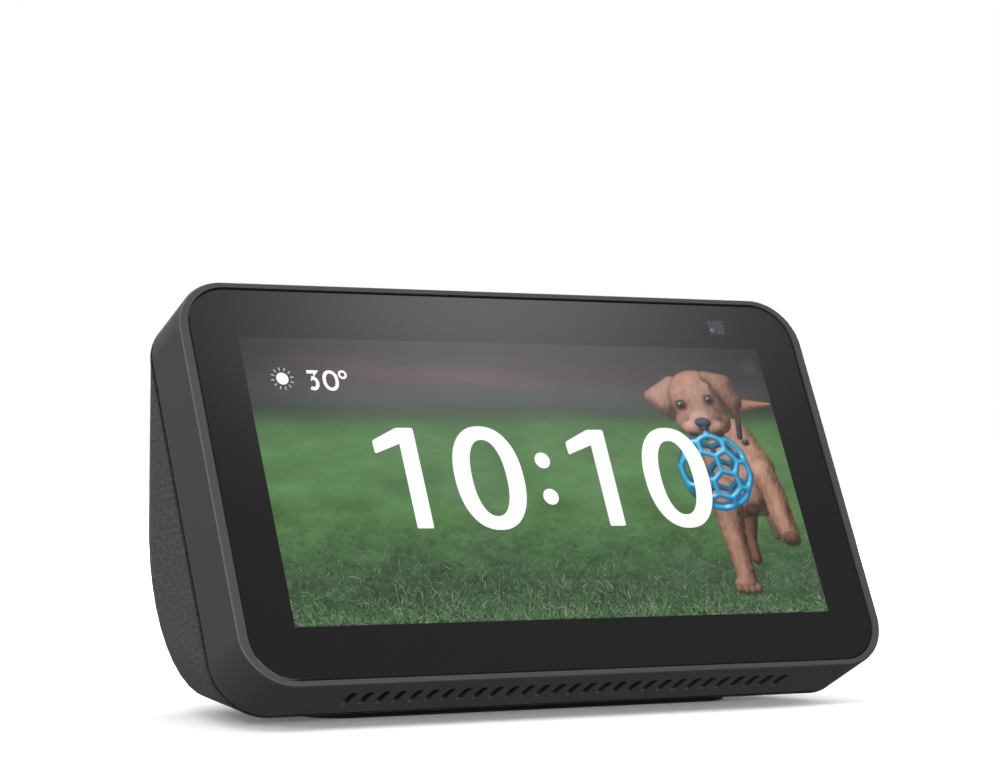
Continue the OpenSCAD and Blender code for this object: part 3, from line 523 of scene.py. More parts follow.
def ease_edges(
    mesh: bmesh.types.BMesh,
    size: float,
    chosen: Callable[[bmesh.types.BMEdge], bool],
    segments: int = 2,
    sharp_deg: float = 38.0,
) -> None:
    """Bevels the sharp edges that a test picks.

    Args:
        mesh: Mesh to change.
        size: Width of the bevel on each side.
        chosen: Test of an edge.
        segments: Steps across the bevel.
        sharp_deg: Edges that turn less than this stay.
    """
    least = math.radians(sharp_deg)
    sharp = [
        e for e in mesh.edges
        if len(e.link_faces) == 2 and e.calc_face_angle(0.0) > least and chosen(e)
    ]
    bmesh.ops.bevel(
        mesh, geom=sharp, offset=size, offset_type="OFFSET", segments=segments,
        profile=0.5, affect="EDGES", material=-1, clamp_overlap=False, miter_outer="SHARP",
    )


def node_copy(node: str) -> bmesh.types.BMesh:
    """Copies a CAD node's mesh, merges it and joins up its flat faces.

    Args:
        node: Name of the CAD node.

    Returns:
        The copy, in metres.
    """
    mesh = bmesh.new()
    mesh.from_mesh(frame["nodes"][node].data)
    bmesh.ops.remove_doubles(mesh, verts=mesh.verts, dist=SAME)
    bmesh.ops.dissolve_limit(
        mesh, angle_limit=math.radians(0.3), use_dissolve_boundaries=False,
        verts=mesh.verts, edges=mesh.edges, delimit={"NORMAL"},
    )
    return mesh


@dataclass
class FrontHousing:
    """Moulded front housing with its rim, wall and slots."""

    face: Face
    rim_ease: float = 0.45
    edge_ease: float = 0.14
    corner_reach: float = 3.2
    rim_depth: float = 0.6

    def build(self) -> None:
        """Eases the CAD shape's edges as a mould does, the outer rim the most."""
        mesh = node_copy("front_housing")
        to_face = self.face.matrix().inverted()
        half_w, half_h = self.face.width / 2, self.face.height / 2
        seam = self.face.depths("front_housing")[0]

        def on_rim(edge: bmesh.types.BMEdge) -> bool:
            """Tells an edge of the outer rim."""
            ends = [to_face @ v.co for v in edge.verts]
            left, low = half_w - self.corner_reach, half_h - self.corner_reach
            outer = all(abs(p.x) > left or abs(p.y) > low for p in ends)
            level = all(abs(p.z) < NEAR for p in ends)
            return outer and level and self.outermost(edge, to_face)

        def on_opening(edge: bmesh.types.BMEdge) -> bool:
            """Tells an edge on the outside of the walls: slots, holes, recess and seam."""
            ends = [to_face @ v.co for v in edge.verts]
            if any(p.z < seam - NEAR or p.z > -self.rim_depth for p in ends):
                return False
            gaps = [(abs(abs(p.x) - half_w), abs(abs(p.y) - half_h)) for p in ends]
            return all(min(gap) < NEAR for gap in gaps)

        ease_edges(mesh, self.rim_ease * MM, on_rim, 4)
        ease_edges(mesh, self.edge_ease * MM, on_opening, 2)
        piece = finish_mesh("housing", mesh, HOUSING.material(), even=True)
        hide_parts("front_housing")

    @staticmethod
    def outermost(edge: bmesh.types.BMEdge, to_face: Matrix) -> bool:
        """Tells if one of an edge's faces looks out sideways.

        Args:
            edge: Edge of the housing.
            to_face: Matrix from the frame to the face's axes.

        Returns:
            True for an edge that borders the outer wall.
        """
        turn = to_face.to_3x3().normalized()
        for side in edge.link_faces:
            look = turn @ side.normal
            middle = to_face @ side.calc_center_median()
            if abs(look.z) < 0.3 and look.x * middle.x + look.y * middle.y > 0:
                return True
        return False


@dataclass
class CoverGlass:
    """Cover glass with its eased edge and the camera's window.

    Attributes:
        face: Axes of the screen face.
        corner: Corner radius of the glass.
        ease: Size of the bevel round its front.
        fill: How much wider and higher it is than the CAD glass, to close the gap at the rim.
        window: Width and height of the camera's window.
        window_radius: Corner radius of the window.
        window_shift: How far its middle lies right of and above the lens.
        film: Thickness of what is printed on the glass.
        rings: Radius of each ring round the lens.
        ring_width: Width of a ring.
        ring_margin: Gap from a ring's cut ends to the window's edge.
        pupil: Radius of the lens that shows.
        pupil_shift: How far it lies right of and above the middle of the rings.
        pupil_dome: Height of its dome as a share of its radius.
    """

    face: Face
    corner: float = 8.9
    ease: float = 0.4
    fill: float = 0.4
    window: tuple = (4.1, 3.4)
    window_radius: float = 0.35
    window_shift: tuple = (1.35, 0.8)
    film: float = 0.012
    rings: tuple = (("camera_ring_inner", 1.9), ("camera_ring_outer", 2.75))
    ring_width: float = 0.16
    ring_margin: float = 0.12
    pupil: float = 0.62
    pupil_shift: tuple = (0.25, 0.05)
    pupil_dome: float = 0.04

    def build(self) -> None:
        """Builds the glass, the window in its black paint and the lens seen through it."""
        back, front = self.face.depths("front_glass")
        low, high = self.face.span("front_glass", self.face.up)
        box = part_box("front_glass")
        width = (box[1].x - box[0].x) / MM + self.fill
        height = (high - low) / MM + self.fill
        mesh = rounded_plate(width, height, self.corner, back, front, self.ease, 20)
        self.face.place(mesh)
        piece = finish_mesh("glass", mesh, BLACK_GLASS.material(), even=True)
        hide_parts("front_glass")
        eye = self.face.middle("camera_lens")
        middle = (eye.x + self.window_shift[0], eye.y + self.window_shift[1])
        self.pane(middle, front)
        for name, radius in self.rings:
            self.arc(name, (eye.x, eye.y), radius, middle, front + self.film)
        lens = bmesh.new()
        spot = Matrix.Translation(
            (eye.x + self.pupil_shift[0], eye.y + self.pupil_shift[1], front + self.film)
        )
        place = self.face.matrix() @ (spot @ Matrix.Diagonal((1, 1, self.pupil_dome, 1)))
        bmesh.ops.create_uvsphere(
            lens, u_segments=32, v_segments=16, radius=self.pupil, matrix=place
        )
        finish_mesh("camera_eye", lens, LENS_COAT.material())

    def pane(self, middle: tuple, depth: float) -> None:
        """Lays the camera's window on the glass as a thin rounded plate.

        Args:
            middle: Middle of the window on the face.
            depth: Depth of the glass's front.
        """
        back, front = depth - self.film, depth + self.film
        mesh = rounded_plate(*self.window, self.window_radius, back, front, 0.0, 6)
        move = self.face.matrix() @ Matrix.Translation((*middle, 0.0))
        bmesh.ops.transform(mesh, matrix=move, verts=mesh.verts)
        finish_mesh(
            "camera_window", mesh, WINDOW_GLASS.material(), even=True
        )

    def arc(self, name: str, centre: tuple, radius: float, middle: tuple, depth: float) -> None:
        """Lays a thin ring round the lens and trims it to the window.

        Args:
            name: Name of the piece.
            centre: Middle of the ring on the face.
            radius: Its inner radius.
            middle: Middle of the window.
            depth: Depth of the ring.
        """
        mesh = bmesh.new()
        bmesh.ops.create_circle(mesh, segments=96, radius=radius)
        outer = bmesh.ops.extrude_edge_only(mesh, edges=mesh.edges[:])
        grown = [g for g in outer["geom"] if isinstance(g, bmesh.types.BMVert)]
        bmesh.ops.scale(mesh, vec=(1 + self.ring_width / radius,) * 3, verts=grown)
        bmesh.ops.translate(mesh, vec=(*centre, depth), verts=mesh.verts)
        for axis, sign in ((0, 1), (0, -1), (1, 1), (1, -1)):
            edge = Vector((0.0, 0.0, 0.0))
            edge[axis] = middle[axis] + sign * (self.window[axis] / 2 - self.ring_margin)
            look = Vector((0.0, 0.0, 0.0))
            look[axis] = sign
            geom = mesh.verts[:] + mesh.edges[:] + mesh.faces[:]
            bmesh.ops.bisect_plane(
                mesh, geom=geom, plane_co=edge, plane_no=look, clear_outer=True
            )
        self.face.place(mesh)
        bmesh.ops.recalc_face_normals(mesh, faces=mesh.faces)
        turn_faces(mesh, self.face.normal)
        finish_mesh(name, mesh, LENS_RING.material())


class SoftNoise:
    """Smooth random field over the picture, the same at any spacing."""

    # Half the width and half the height of the area that the lattices cover, in millimetres
    HALF = (70, 38)
    # Strength of each layer as a share of the one before
    FADE = 0.55

    def __init__(self, seed: int, cell: tuple, octaves: int = 1) -> None:
        """Draws the random lattices.

        Args:
            seed: Seed of the random numbers.
            cell: Size of the largest patch across and up.
            octaves: Number of layers, each half the size of the last.
        """
        rng = np.random.default_rng(seed)
        self.layers = []
        for i in range(octaves):
            step = (cell[0] / 2**i, cell[1] / 2**i)
            count = tuple(int(2 * half / s) + 4 for half, s in zip(self.HALF, step))
            self.layers.append((step, rng.random(count), self.FADE**i))

    def __call__(self, u: np.ndarray, v: np.ndarray) -> np.ndarray:
        """Reads the field at points of the picture.

        Args:
            u: Distance to the right of the middle.
            v: Distance above the middle.

        Returns:
            One value from -1 to 1 a point.
        """
        total, weight = np.zeros_like(u), 0.0
        for step, lattice, share in self.layers:
            a, b = (u + self.HALF[0]) / step[0], (v + self.HALF[1]) / step[1]
            i = np.clip(a.astype(int), 0, lattice.shape[0] - 2)
            j = np.clip(b.astype(int), 0, lattice.shape[1] - 2)
            s, t = np.clip(a - i, 0, 1), np.clip(b - j, 0, 1)
            s, t = s * s * (3 - 2 * s), t * t * (3 - 2 * t)
            low = lattice[i, j] * (1 - s) + lattice[i + 1, j] * s
            high = lattice[i, j + 1] * (1 - s) + lattice[i + 1, j + 1] * s
            total = total + share * (2 * (low * (1 - t) + high * t) - 1)
            weight += share
        return total / weight


def rgb(hex_colour: str) -> np.ndarray:
    """Returns a colour as three linear values."""
    return np.array(linear(hex_colour)[:3])


class Meadow:
    """Out-of-focus lawn with a dim hedge behind it, as colours over the picture."""

    # Height up the picture and the colour there, sRGB, from the foot to the top
    ROWS = (
        (-31, "#2b3d28"), (-27, "#344a32"), (-22, "#385138"), (-18, "#3d5d39"),
        (-14, "#45673f"), (-9, "#4b723e"), (-3, "#507847"), (3, "#527a49"), (8, "#4f7847"),
        (11.5, "#466d3f"), (13.5, "#3f5a3a"), (15.5, "#3e4a41"), (18, "#454b4a"),
        (20.5, "#494546"), (23, "#413a3b"),
        (25, "#3a3435"), (28, "#2f2d2d"), (31, "#2a2929"),
    )
    # Linear tints of the blurred row of bricks and of the pale spot behind the puppy's head
    BRICK = np.array([1.0, 0.42, 0.44])
    GLINT = np.array([0.7, 1.0, 0.95])

    def __init__(self) -> None:
        """Draws the random fields that break up the bands."""
        self.drift = SoftNoise(11, (26, 9), 3)
        self.blur = SoftNoise(12, (9, 3.6), 3)
        self.tufts = SoftNoise(13, (3.2, 1.5), 3)
        self.fine = SoftNoise(14, (0.9, 0.6), 2)
        self.pale = SoftNoise(15, (14, 7), 2)

    def __call__(self, u: np.ndarray, v: np.ndarray) -> np.ndarray:
        """Returns linear colours at points of the picture.

        Args:
            u: Distance to the right of the middle.
            v: Distance above the middle.

        Returns:
            One linear colour a point.
        """
        at = v + 1.3 * self.drift(u, v)
        heights = np.array([row[0] for row in self.ROWS], float)
        colours = np.array([rgb(row[1]) for row in self.ROWS])
        base = np.stack([np.interp(at, heights, colours[:, c]) for c in range(3)], axis=-1)
        lawn = 1 / (1 + np.exp((at - 13.0) / 0.7))
        near = 1 / (1 + np.exp((v + 11) / 2.5))
        light = 1 + lawn * (0.26 * self.blur(u, v) + (0.12 + 0.3 * near) * self.tufts(u, v))
        light = light + 0.35 * near * self.fine(u, v) + 0.06 * (1 - lawn) * self.blur(u, v)
        base = base * light[..., None]
        pale = np.clip(self.pale(u, v), 0, 1) * lawn
        base = base + (pale * 0.10)[..., None] * rgb("#8fa58c")
        row = np.exp(-(((v - 23.4 + 0.05 * (u + 20)) / 2.4) ** 2))
        bricks = np.clip(row * (0.7 + 0.9 * self.blur(u * 0.6, v)), 0, 2)
        reach = 1 / (1 + np.exp((u - 6) / 5)) * 1 / (1 + np.exp((-48 - u) / 3))
        base = base + (bricks * reach * 0.042)[..., None] * self.BRICK
        corners = np.clip((np.abs(u) - 40) / 22, 0, 1)
        base = base * (1 - 0.4 * (1 - lawn) * corners)[..., None]
        glint = np.exp(-((np.hypot(u - 58.6, v - 26.3) / 2.0) ** 4))
        return np.clip(base + (0.02 * glint)[..., None] * self.GLINT, 0, 1)


@dataclass(frozen=True)
class Limb:
    """A rounded bar between two points, thicker or thinner along its length.

    Attributes:
        start: Place of one end: across, up, and toward the viewer.
        start_r: Radius there.
        end: Place of the other end.
        end_r: Radius there.
    """

    start: tuple
    start_r: float
    end: tuple
    end_r: float

    def measure(self, u: np.ndarray, v: np.ndarray) -> tuple:
        """Measures the bar over a grid of points.

        Args:
            u: Places across.
            v: Places up.

        Returns:
            The height of the surface, and the depth inside the outline.
        """
        du, dv = self.end[0] - self.start[0], self.end[1] - self.start[1]
        length = max(du * du + dv * dv, 1e-9)
        t = np.clip(((u - self.start[0]) * du + (v - self.start[1]) * dv) / length, 0, 1)
        gap = np.hypot(u - self.start[0] - t * du, v - self.start[1] - t * dv)
        radius = self.start_r + (self.end_r - self.start_r) * t
        lift = self.start[2] + (self.end[2] - self.start[2]) * t
        inside = radius - gap
        dome = np.sqrt(np.clip(radius**2 - gap**2, 0, None))
        return lift + np.where(inside > 0, dome, 3 * inside), inside


@dataclass(frozen=True)
class Egg:
    """A rounded egg shape.

    Attributes:
        centre: Place of its middle: across, up, and toward the viewer.
        radii: Half sizes across, up and deep.
        tilt_deg: Turn in the plane of the picture.
    """

    centre: tuple
    radii: tuple
    tilt_deg: float = 0.0

    def measure(self, u: np.ndarray, v: np.ndarray) -> tuple:
        """Measures the egg over a grid of points.

        Args:
            u: Places across.
            v: Places up.

        Returns:
            The height of the surface, and the depth inside the outline.
        """
        c, s = math.cos(math.radians(self.tilt_deg)), math.sin(math.radians(self.tilt_deg))
        du, dv = u - self.centre[0], v - self.centre[1]
        a, b = (c * du + s * dv) / self.radii[0], (c * dv - s * du) / self.radii[1]
        reach = np.hypot(a, b)
        inside = (1 - reach) * min(self.radii[0], self.radii[1])
        dome = self.radii[2] * np.sqrt(np.clip(1 - reach**2, 0, None))
        return self.centre[2] + np.where(inside > 0, dome, 3 * inside), inside


def soften(field: np.ndarray, reach: int) -> np.ndarray:
    """Averages a field over a small square, twice.

    Args:
        field: Rows of values.
        reach: Points on each side that count.

    Returns:
        The softened field.
    """
    if reach < 1:
        return field
    width = 2 * reach + 1
    for axis in (0, 1, 0, 1):
        edges = [(reach + 1, reach) if axis == k else (0, 0) for k in (0, 1)]
        sums = np.cumsum(np.pad(field, edges, mode="edge"), axis=axis)
        count = sums.shape[axis]
        late = np.take(sums, range(width, count), axis)
        early = np.take(sums, range(count - width), axis)
        field = (late - early) / width
    return field


class Painter:
    """Shades rounded shapes over a grid of points, back to front."""

    # Way to the light: across, up, toward the viewer
    LIGHT = np.array([-0.30, 0.62, 0.72])

    def __init__(self, u: np.ndarray, v: np.ndarray, ground: np.ndarray) -> None:
        """Starts with the ground's colours and nothing painted.

        Args:
            u: Grid of places across.
            v: Grid of places up.
            ground: Linear colours under the shapes.
        """
        self.u, self.v, self.colour = u, v, ground.copy()
        self.cover = np.zeros_like(u)
        self.step = abs(float(u[0, 1] - u[0, 0]))
        self.fur = SoftNoise(31, (0.42, 1.1), 2)
        self.patch = SoftNoise(32, (5, 5), 2)

    def paint(
        self, shapes: Iterable, lit: str, shade: str, blend: float = 0.5, fur: float = 0.2,
        gloss: float = 0.0, outline: float = 0.35, fade: float = 1.0,
    ) -> None:
        """Paints one group of shapes that flow into each other.

        Args:
            shapes: The shapes.
            lit: Colour in full light, sRGB hex.
            shade: Colour out of the light, sRGB hex.
            blend: How softly the shapes join.
            fur: Strength of the short hair.
            gloss: Strength of the highlight.
            outline: How much darker the group gets at its edge.
            fade: Share of the ground that it hides.
        """
        heights, insides = zip(*(s.measure(self.u, self.v) for s in shapes))
        stack = np.stack(heights)
        height = soften(stack.max(axis=0), int(round(blend * 0.45 / self.step)))
        inside = np.max(np.stack(insides), axis=0)
        dv, du = np.gradient(height, self.step)
        scale = 1 / np.sqrt(1 + du * du + dv * dv)
        facing = (-self.LIGHT[0] * du - self.LIGHT[1] * dv + self.LIGHT[2]) * scale
        lamp = np.clip(facing / np.linalg.norm(self.LIGHT), 0, 1)
        hair = fur * self.fur(self.u, self.v) + 0.1 * self.patch(self.u, self.v)
        tone = np.clip(lamp**1.2 + hair, 0, 1.2)
        colour = rgb(shade) * (1 - tone[..., None]) + rgb(lit) * tone[..., None]
        edge = np.clip(1 - inside / 0.8, 0, 1) ** 2
        colour = colour * (1 - outline * edge)[..., None]
        colour = colour + gloss * np.clip(lamp, 0, 1)[..., None] ** 24
        alpha = fade * np.clip(inside / (1.6 * self.step) + 0.5, 0, 1)
        self.colour = self.colour * (1 - alpha[..., None]) + colour * alpha[..., None]
        self.cover = np.maximum(self.cover, alpha)


def chain(points: Sequence[tuple]) -> list:
    """Joins points of across, up, toward, radius into limbs."""
    return [Limb(a[:3], a[3], b[:3], b[3]) for a, b in zip(points, points[1:])]


class Puppy:
    """A brown puppy that trots toward the viewer with a lattice ball in its mouth."""

    # Colour of the coat out of the light
    SHADE = "#3c271e"
    # Places of the eyes and the nose's middle
    EYES = ((38.35, 17.15), (45.75, 18.45))
    NOSE = (42.7, 12.95)
    # Radius, middle and bar radius of the ball, and its turn round each axis
    BALL_RADIUS = 8.7
    BALL_MIDDLE = (42.8, 1.7)
    BALL_BAR = 0.7
    BALL_TURN = (("X", 0.35), ("Y", 0.62), ("Z", 0.2))

    def paint(self, brush: Painter) -> None:
        """Paints the puppy back to front.

        Args:
            brush: Painter that holds the grid and the ground.
        """
        tail = Limb((52.2, 17.2, 0), 1.7, (61.2, 17.5, 0), 0.3)
        brush.paint([tail], "#b3836b", "#6a4536", outline=0.2)
        far_leg = chain([(47.6, -8, 0, 3.0), (47.0, -14.5, 0, 1.5), (47.3, -18.6, 0, 1.3)])
        brush.paint(far_leg, "#84604e", "#2e1d16", 1.2)
        far_thigh = Limb((54.6, -8, 0), 2.6, (53.9, -13.4, 0), 1.0)
        brush.paint([far_thigh], "#7f5c4b", "#3a261c", fade=0.8)
        brush.paint(
            [
                Limb((50.0, 9.6, 0), 4.4, (53.0, 2.5, 1), 5.0),
                Limb((52.6, 3.0, 1), 4.9, (50.2, -3.6, 0), 4.6),
                Limb((46, 4, -1), 5.5, (46.8, -4.4, -1), 4.9), Egg((47.6, -5.6, 0), (3.6, 3.6, 3)),
            ],
            "#c4957d", self.SHADE, 2.0,
        )
        belly = Limb((49.2, -7.6, 1), 1.6, (52.6, -8.0, 1), 0.9)
        brush.paint([belly], "#4a332a", "#1d1411", 1.0, outline=0.0, fade=0.7)
        raised_leg = [
            (54.2, 1.0, 3.2, 3.6), (56.1, -4.0, 3.6, 3.0), (56.5, -9.4, 3.8, 2.9),
            (57.3, -13.3, 4.0, 2.5),
        ]
        brush.paint(chain(raised_leg), "#c99a81", "#3d271e", 2.2, outline=0.25)
        pad = Egg((57.6, -14.2, 6), (2.3, 1.7, 1.6), -12)
        brush.paint([pad], "#66493a", "#2b1c15", 1.2, outline=0.1, fade=0.75)
        leg = chain([(43.3, -4.0, 2.4, 4.4), (43.2, -12.5, 2.4, 3.0), (43.5, -23.0, 2.4, 2.3)])
        paw = Egg((43.2, -24.2, 2.2), (3.0, 2.0, 2.2))
        brush.paint([*leg, paw], "#c0927b", self.SHADE, 2.0)
        toes = [
            Egg((41.1 + 1.55 * i, -25.2 - 0.3 * (i in (1, 2)), 4.2), (0.95, 1.2, 1.0))
            for i in range(4)
        ]
        brush.paint(toes, "#a2765f", "#3e281f", 0.5, outline=0.5, fade=0.85)
        collar = Limb((51.8, 13.2, 4), 0.75, (51.2, 9.6, 4), 0.7)
        brush.paint([collar], "#454b5c", "#12151c", fur=0.03)
        tag = Egg((52.3, 8.3, 5), (0.95, 0.8, 0.8))
        brush.paint([tag], "#3b4356", "#14161d", fur=0.0, gloss=0.2)
        self.ball_rear(brush)
        self.head(brush)
        self.ball_front(brush)

    def head(self, brush: Painter) -> None:
        """Paints the head: ears, skull, muzzle, eyes and nose.

        Args:
            brush: Painter that holds what is painted so far.
        """
        brush.paint(
            [
                Limb((37.2, 22.0, 2), 1.9, (31.4, 18.9, 1.6), 1.7),
                Limb((36.8, 19.6, 2), 3.4, (34.2, 17.6, 2), 2.9),
                Limb((34.6, 17.6, 2), 2.8, (35.3, 14.4, 2.2), 1.0),
            ],
            "#b08a7b", "#4a3129", 2.4, outline=0.2,
        )
        brush.paint(
            [
                Egg((42.9, 19.0, 3), (7.3, 6.4, 6.2), 8), Egg((42.9, 14.8, 4), (5.9, 4.8, 5.0), 4),
                Egg((38.9, 13.0, 4), (2.9, 2.9, 2.6)), Egg((46.9, 13.2, 4), (3.0, 2.9, 2.6)),
            ],
            "#b78a78", "#4f352c", 1.6,
        )
        blaze = Egg((42.6, 18.9, 9.0), (1.7, 4.8, 0.8), 8)
        brush.paint([blaze], "#c49d8d", "#a07c6c", 0.8, fade=0.4, outline=0)
        for x, y, tilt in ((38.6, 20.2, 24), (45.9, 21.4, -10)):
            brow = Egg((x, y, 9), (1.9, 0.8, 0.5), tilt)
            brush.paint([brow], "#c29b8a", "#98705f", 0.8, fade=0.35, outline=0)
        brush.paint(
            [
                Egg((42.7, 13.6, 8), (3.2, 2.4, 2.6)), Egg((40.1, 11.7, 8), (2.8, 2.0, 2.0)),
                Egg((45.3, 11.8, 8), (2.8, 2.0, 2.0)),
            ],
            "#c99f8f", "#644439", 1.4, outline=0.15,
        )
        brush.paint(
            [
                Limb((46.0, 24.0, 7), 1.3, (50.6, 22.4, 7.4), 2.2),
                Limb((49.6, 21.4, 7.4), 3.1, (51.6, 18.4, 7.2), 2.6),
                Limb((51.4, 18.4, 7.2), 2.4, (52.0, 14.2, 6.6), 0.8),
            ],
            "#9d7868", "#412b23", 2.2, outline=0.3,
        )
        for start, end in (((46.6, 22.6, 9), (49.0, 18.6, 9)), ((49.0, 18.6, 9), (50.9, 14.2, 9))):
            fold = Limb(start, 0.3, end, 0.26)
            brush.paint([fold], "#4e362c", "#33221b", fur=0, fade=0.6, outline=0)
        for x, y in self.EYES:
            self.eye(brush, x, y)
        x, y = self.NOSE
        nose = [Egg((x, y, 12), (2.1, 1.25, 1.2)), Egg((42.65, 11.9, 12), (1.25, 1.15, 1.0))]
        brush.paint(nose, "#525c72", "#12151d", 0.4, fur=0.05)
        for side in (-1, 1):
            nostril = Egg((x + side * 0.95, 12.25, 13), (0.42, 0.34, 0.3))
            brush.paint([nostril], "#0b0d12", "#07080b", fur=0, outline=0)
        lip = Limb((x, 11.0, 12), 0.16, (x, 10.0, 12), 0.16)
        brush.paint([lip], "#2b1e1b", "#1d1412", fur=0, outline=0)
        for start, end in (((39.0, 10.3, 9), (42.6, 9.5, 9)), ((42.8, 9.5, 9), (46.8, 10.4, 9))):
            brush.paint([Limb(start, 0.45, end, 0.7)], "#3b2a26", "#1d1412", fur=0.02, outline=0)

    @staticmethod
    def eye(brush: Painter, x: float, y: float) -> None:
        """Paints an eye: its socket, iris, pupil, glint and upper lid.

        Args:
            brush: Painter that holds the head.
            x: Middle of the eye across.
            y: Middle of the eye up.
        """
        parts = (
            (Egg((x, y - 0.1, 10), (1.75, 1.4, 0.8), 8), "#6f4f42", "#3f2b24", 0.2, 0.0, 0.6),
            (Egg((x, y, 11), (1.15, 1.0, 0.9), 8), "#75675c", "#2a1f1a", 0.0, 0.85, 1.0),
            (Egg((x, y - 0.05, 12), (0.5, 0.52, 0.4)), "#12100f", "#060505", 0.0, 0.0, 1.0),
            (Egg((x - 0.3, y + 0.34, 13), (0.22, 0.2, 0.2)), "#b9c0cc", "#b9c0cc", 0.0, 0.0, 1.0),
            (
                Limb((x - 1.2, y + 0.75, 12), 0.2, (x + 0.9, y + 1.05, 12), 0.22),
                "#3c2922", "#2b1d18", 0.0, 0.0, 0.6,
            ),
        )
        for shape, lit, shade, fur, outline, fade in parts:
            brush.paint([shape], lit, shade, fur=fur, outline=outline, fade=fade)

    def struts(self, front: bool) -> list:
        """Returns the bars of the lattice ball on its near or far half.

        Args:
            front: True for the near half.

        Returns:
            The bars, along the edges of an icosahedron with its corners cut off.
        """
        golden = (1 + math.sqrt(5)) / 2
        points = [
            Vector(p) for a in (-1, 1) for b in (-golden, golden)
            for p in ((0, a, b), (a, b, 0), (b, 0, a))
        ]
        turn = Matrix.Identity(3)
        for axis, angle in self.BALL_TURN:
            turn = turn @ Matrix.Rotation(angle, 3, axis)
        points = [turn @ p for p in points]
        # The corners of an icosahedron with this golden ratio are 2 apart along its edges
        near = [[j for j, q in enumerate(points) if 0.1 < (p - q).length < 2.1] for p in points]

        def third(i: int, j: int) -> Vector:
            """Returns the ball's corner a third of the way from one point to another."""
            return (points[i] * 2 + points[j]).normalized() * self.BALL_RADIUS

        corners = range(len(points))
        ends = [(third(i, j), third(j, i)) for i in corners for j in near[i] if i < j]
        ends += [
            (third(i, j), third(i, k))
            for i in corners for j in near[i] for k in near[j] if j < k and k in near[i]
        ]
        x, y = self.BALL_MIDDLE
        lift = 16.0 if front else 2.0
        limbs = []
        for a, b in ends:
            if ((a + b).z > 0) == front:
                arc = [a, (a + b).normalized() * self.BALL_RADIUS, b]
                limbs += chain([(p.x + x, p.y + y, lift + 0.4 * p.z, self.BALL_BAR) for p in arc])
        return limbs

    def ball_rear(self, brush: Painter) -> None:
        """Paints the far half of the ball, in its own shadow."""
        brush.paint(self.struts(False), "#1f6f98", "#0e3349", 0.6, fur=0.0, outline=0.3)

    def ball_front(self, brush: Painter) -> None:
        """Paints the near half of the ball."""
        near = self.struts(True)
        brush.paint(near, "#45c4f2", "#0f6c9e", 0.6, fur=0.02, gloss=0.35, outline=0.45)


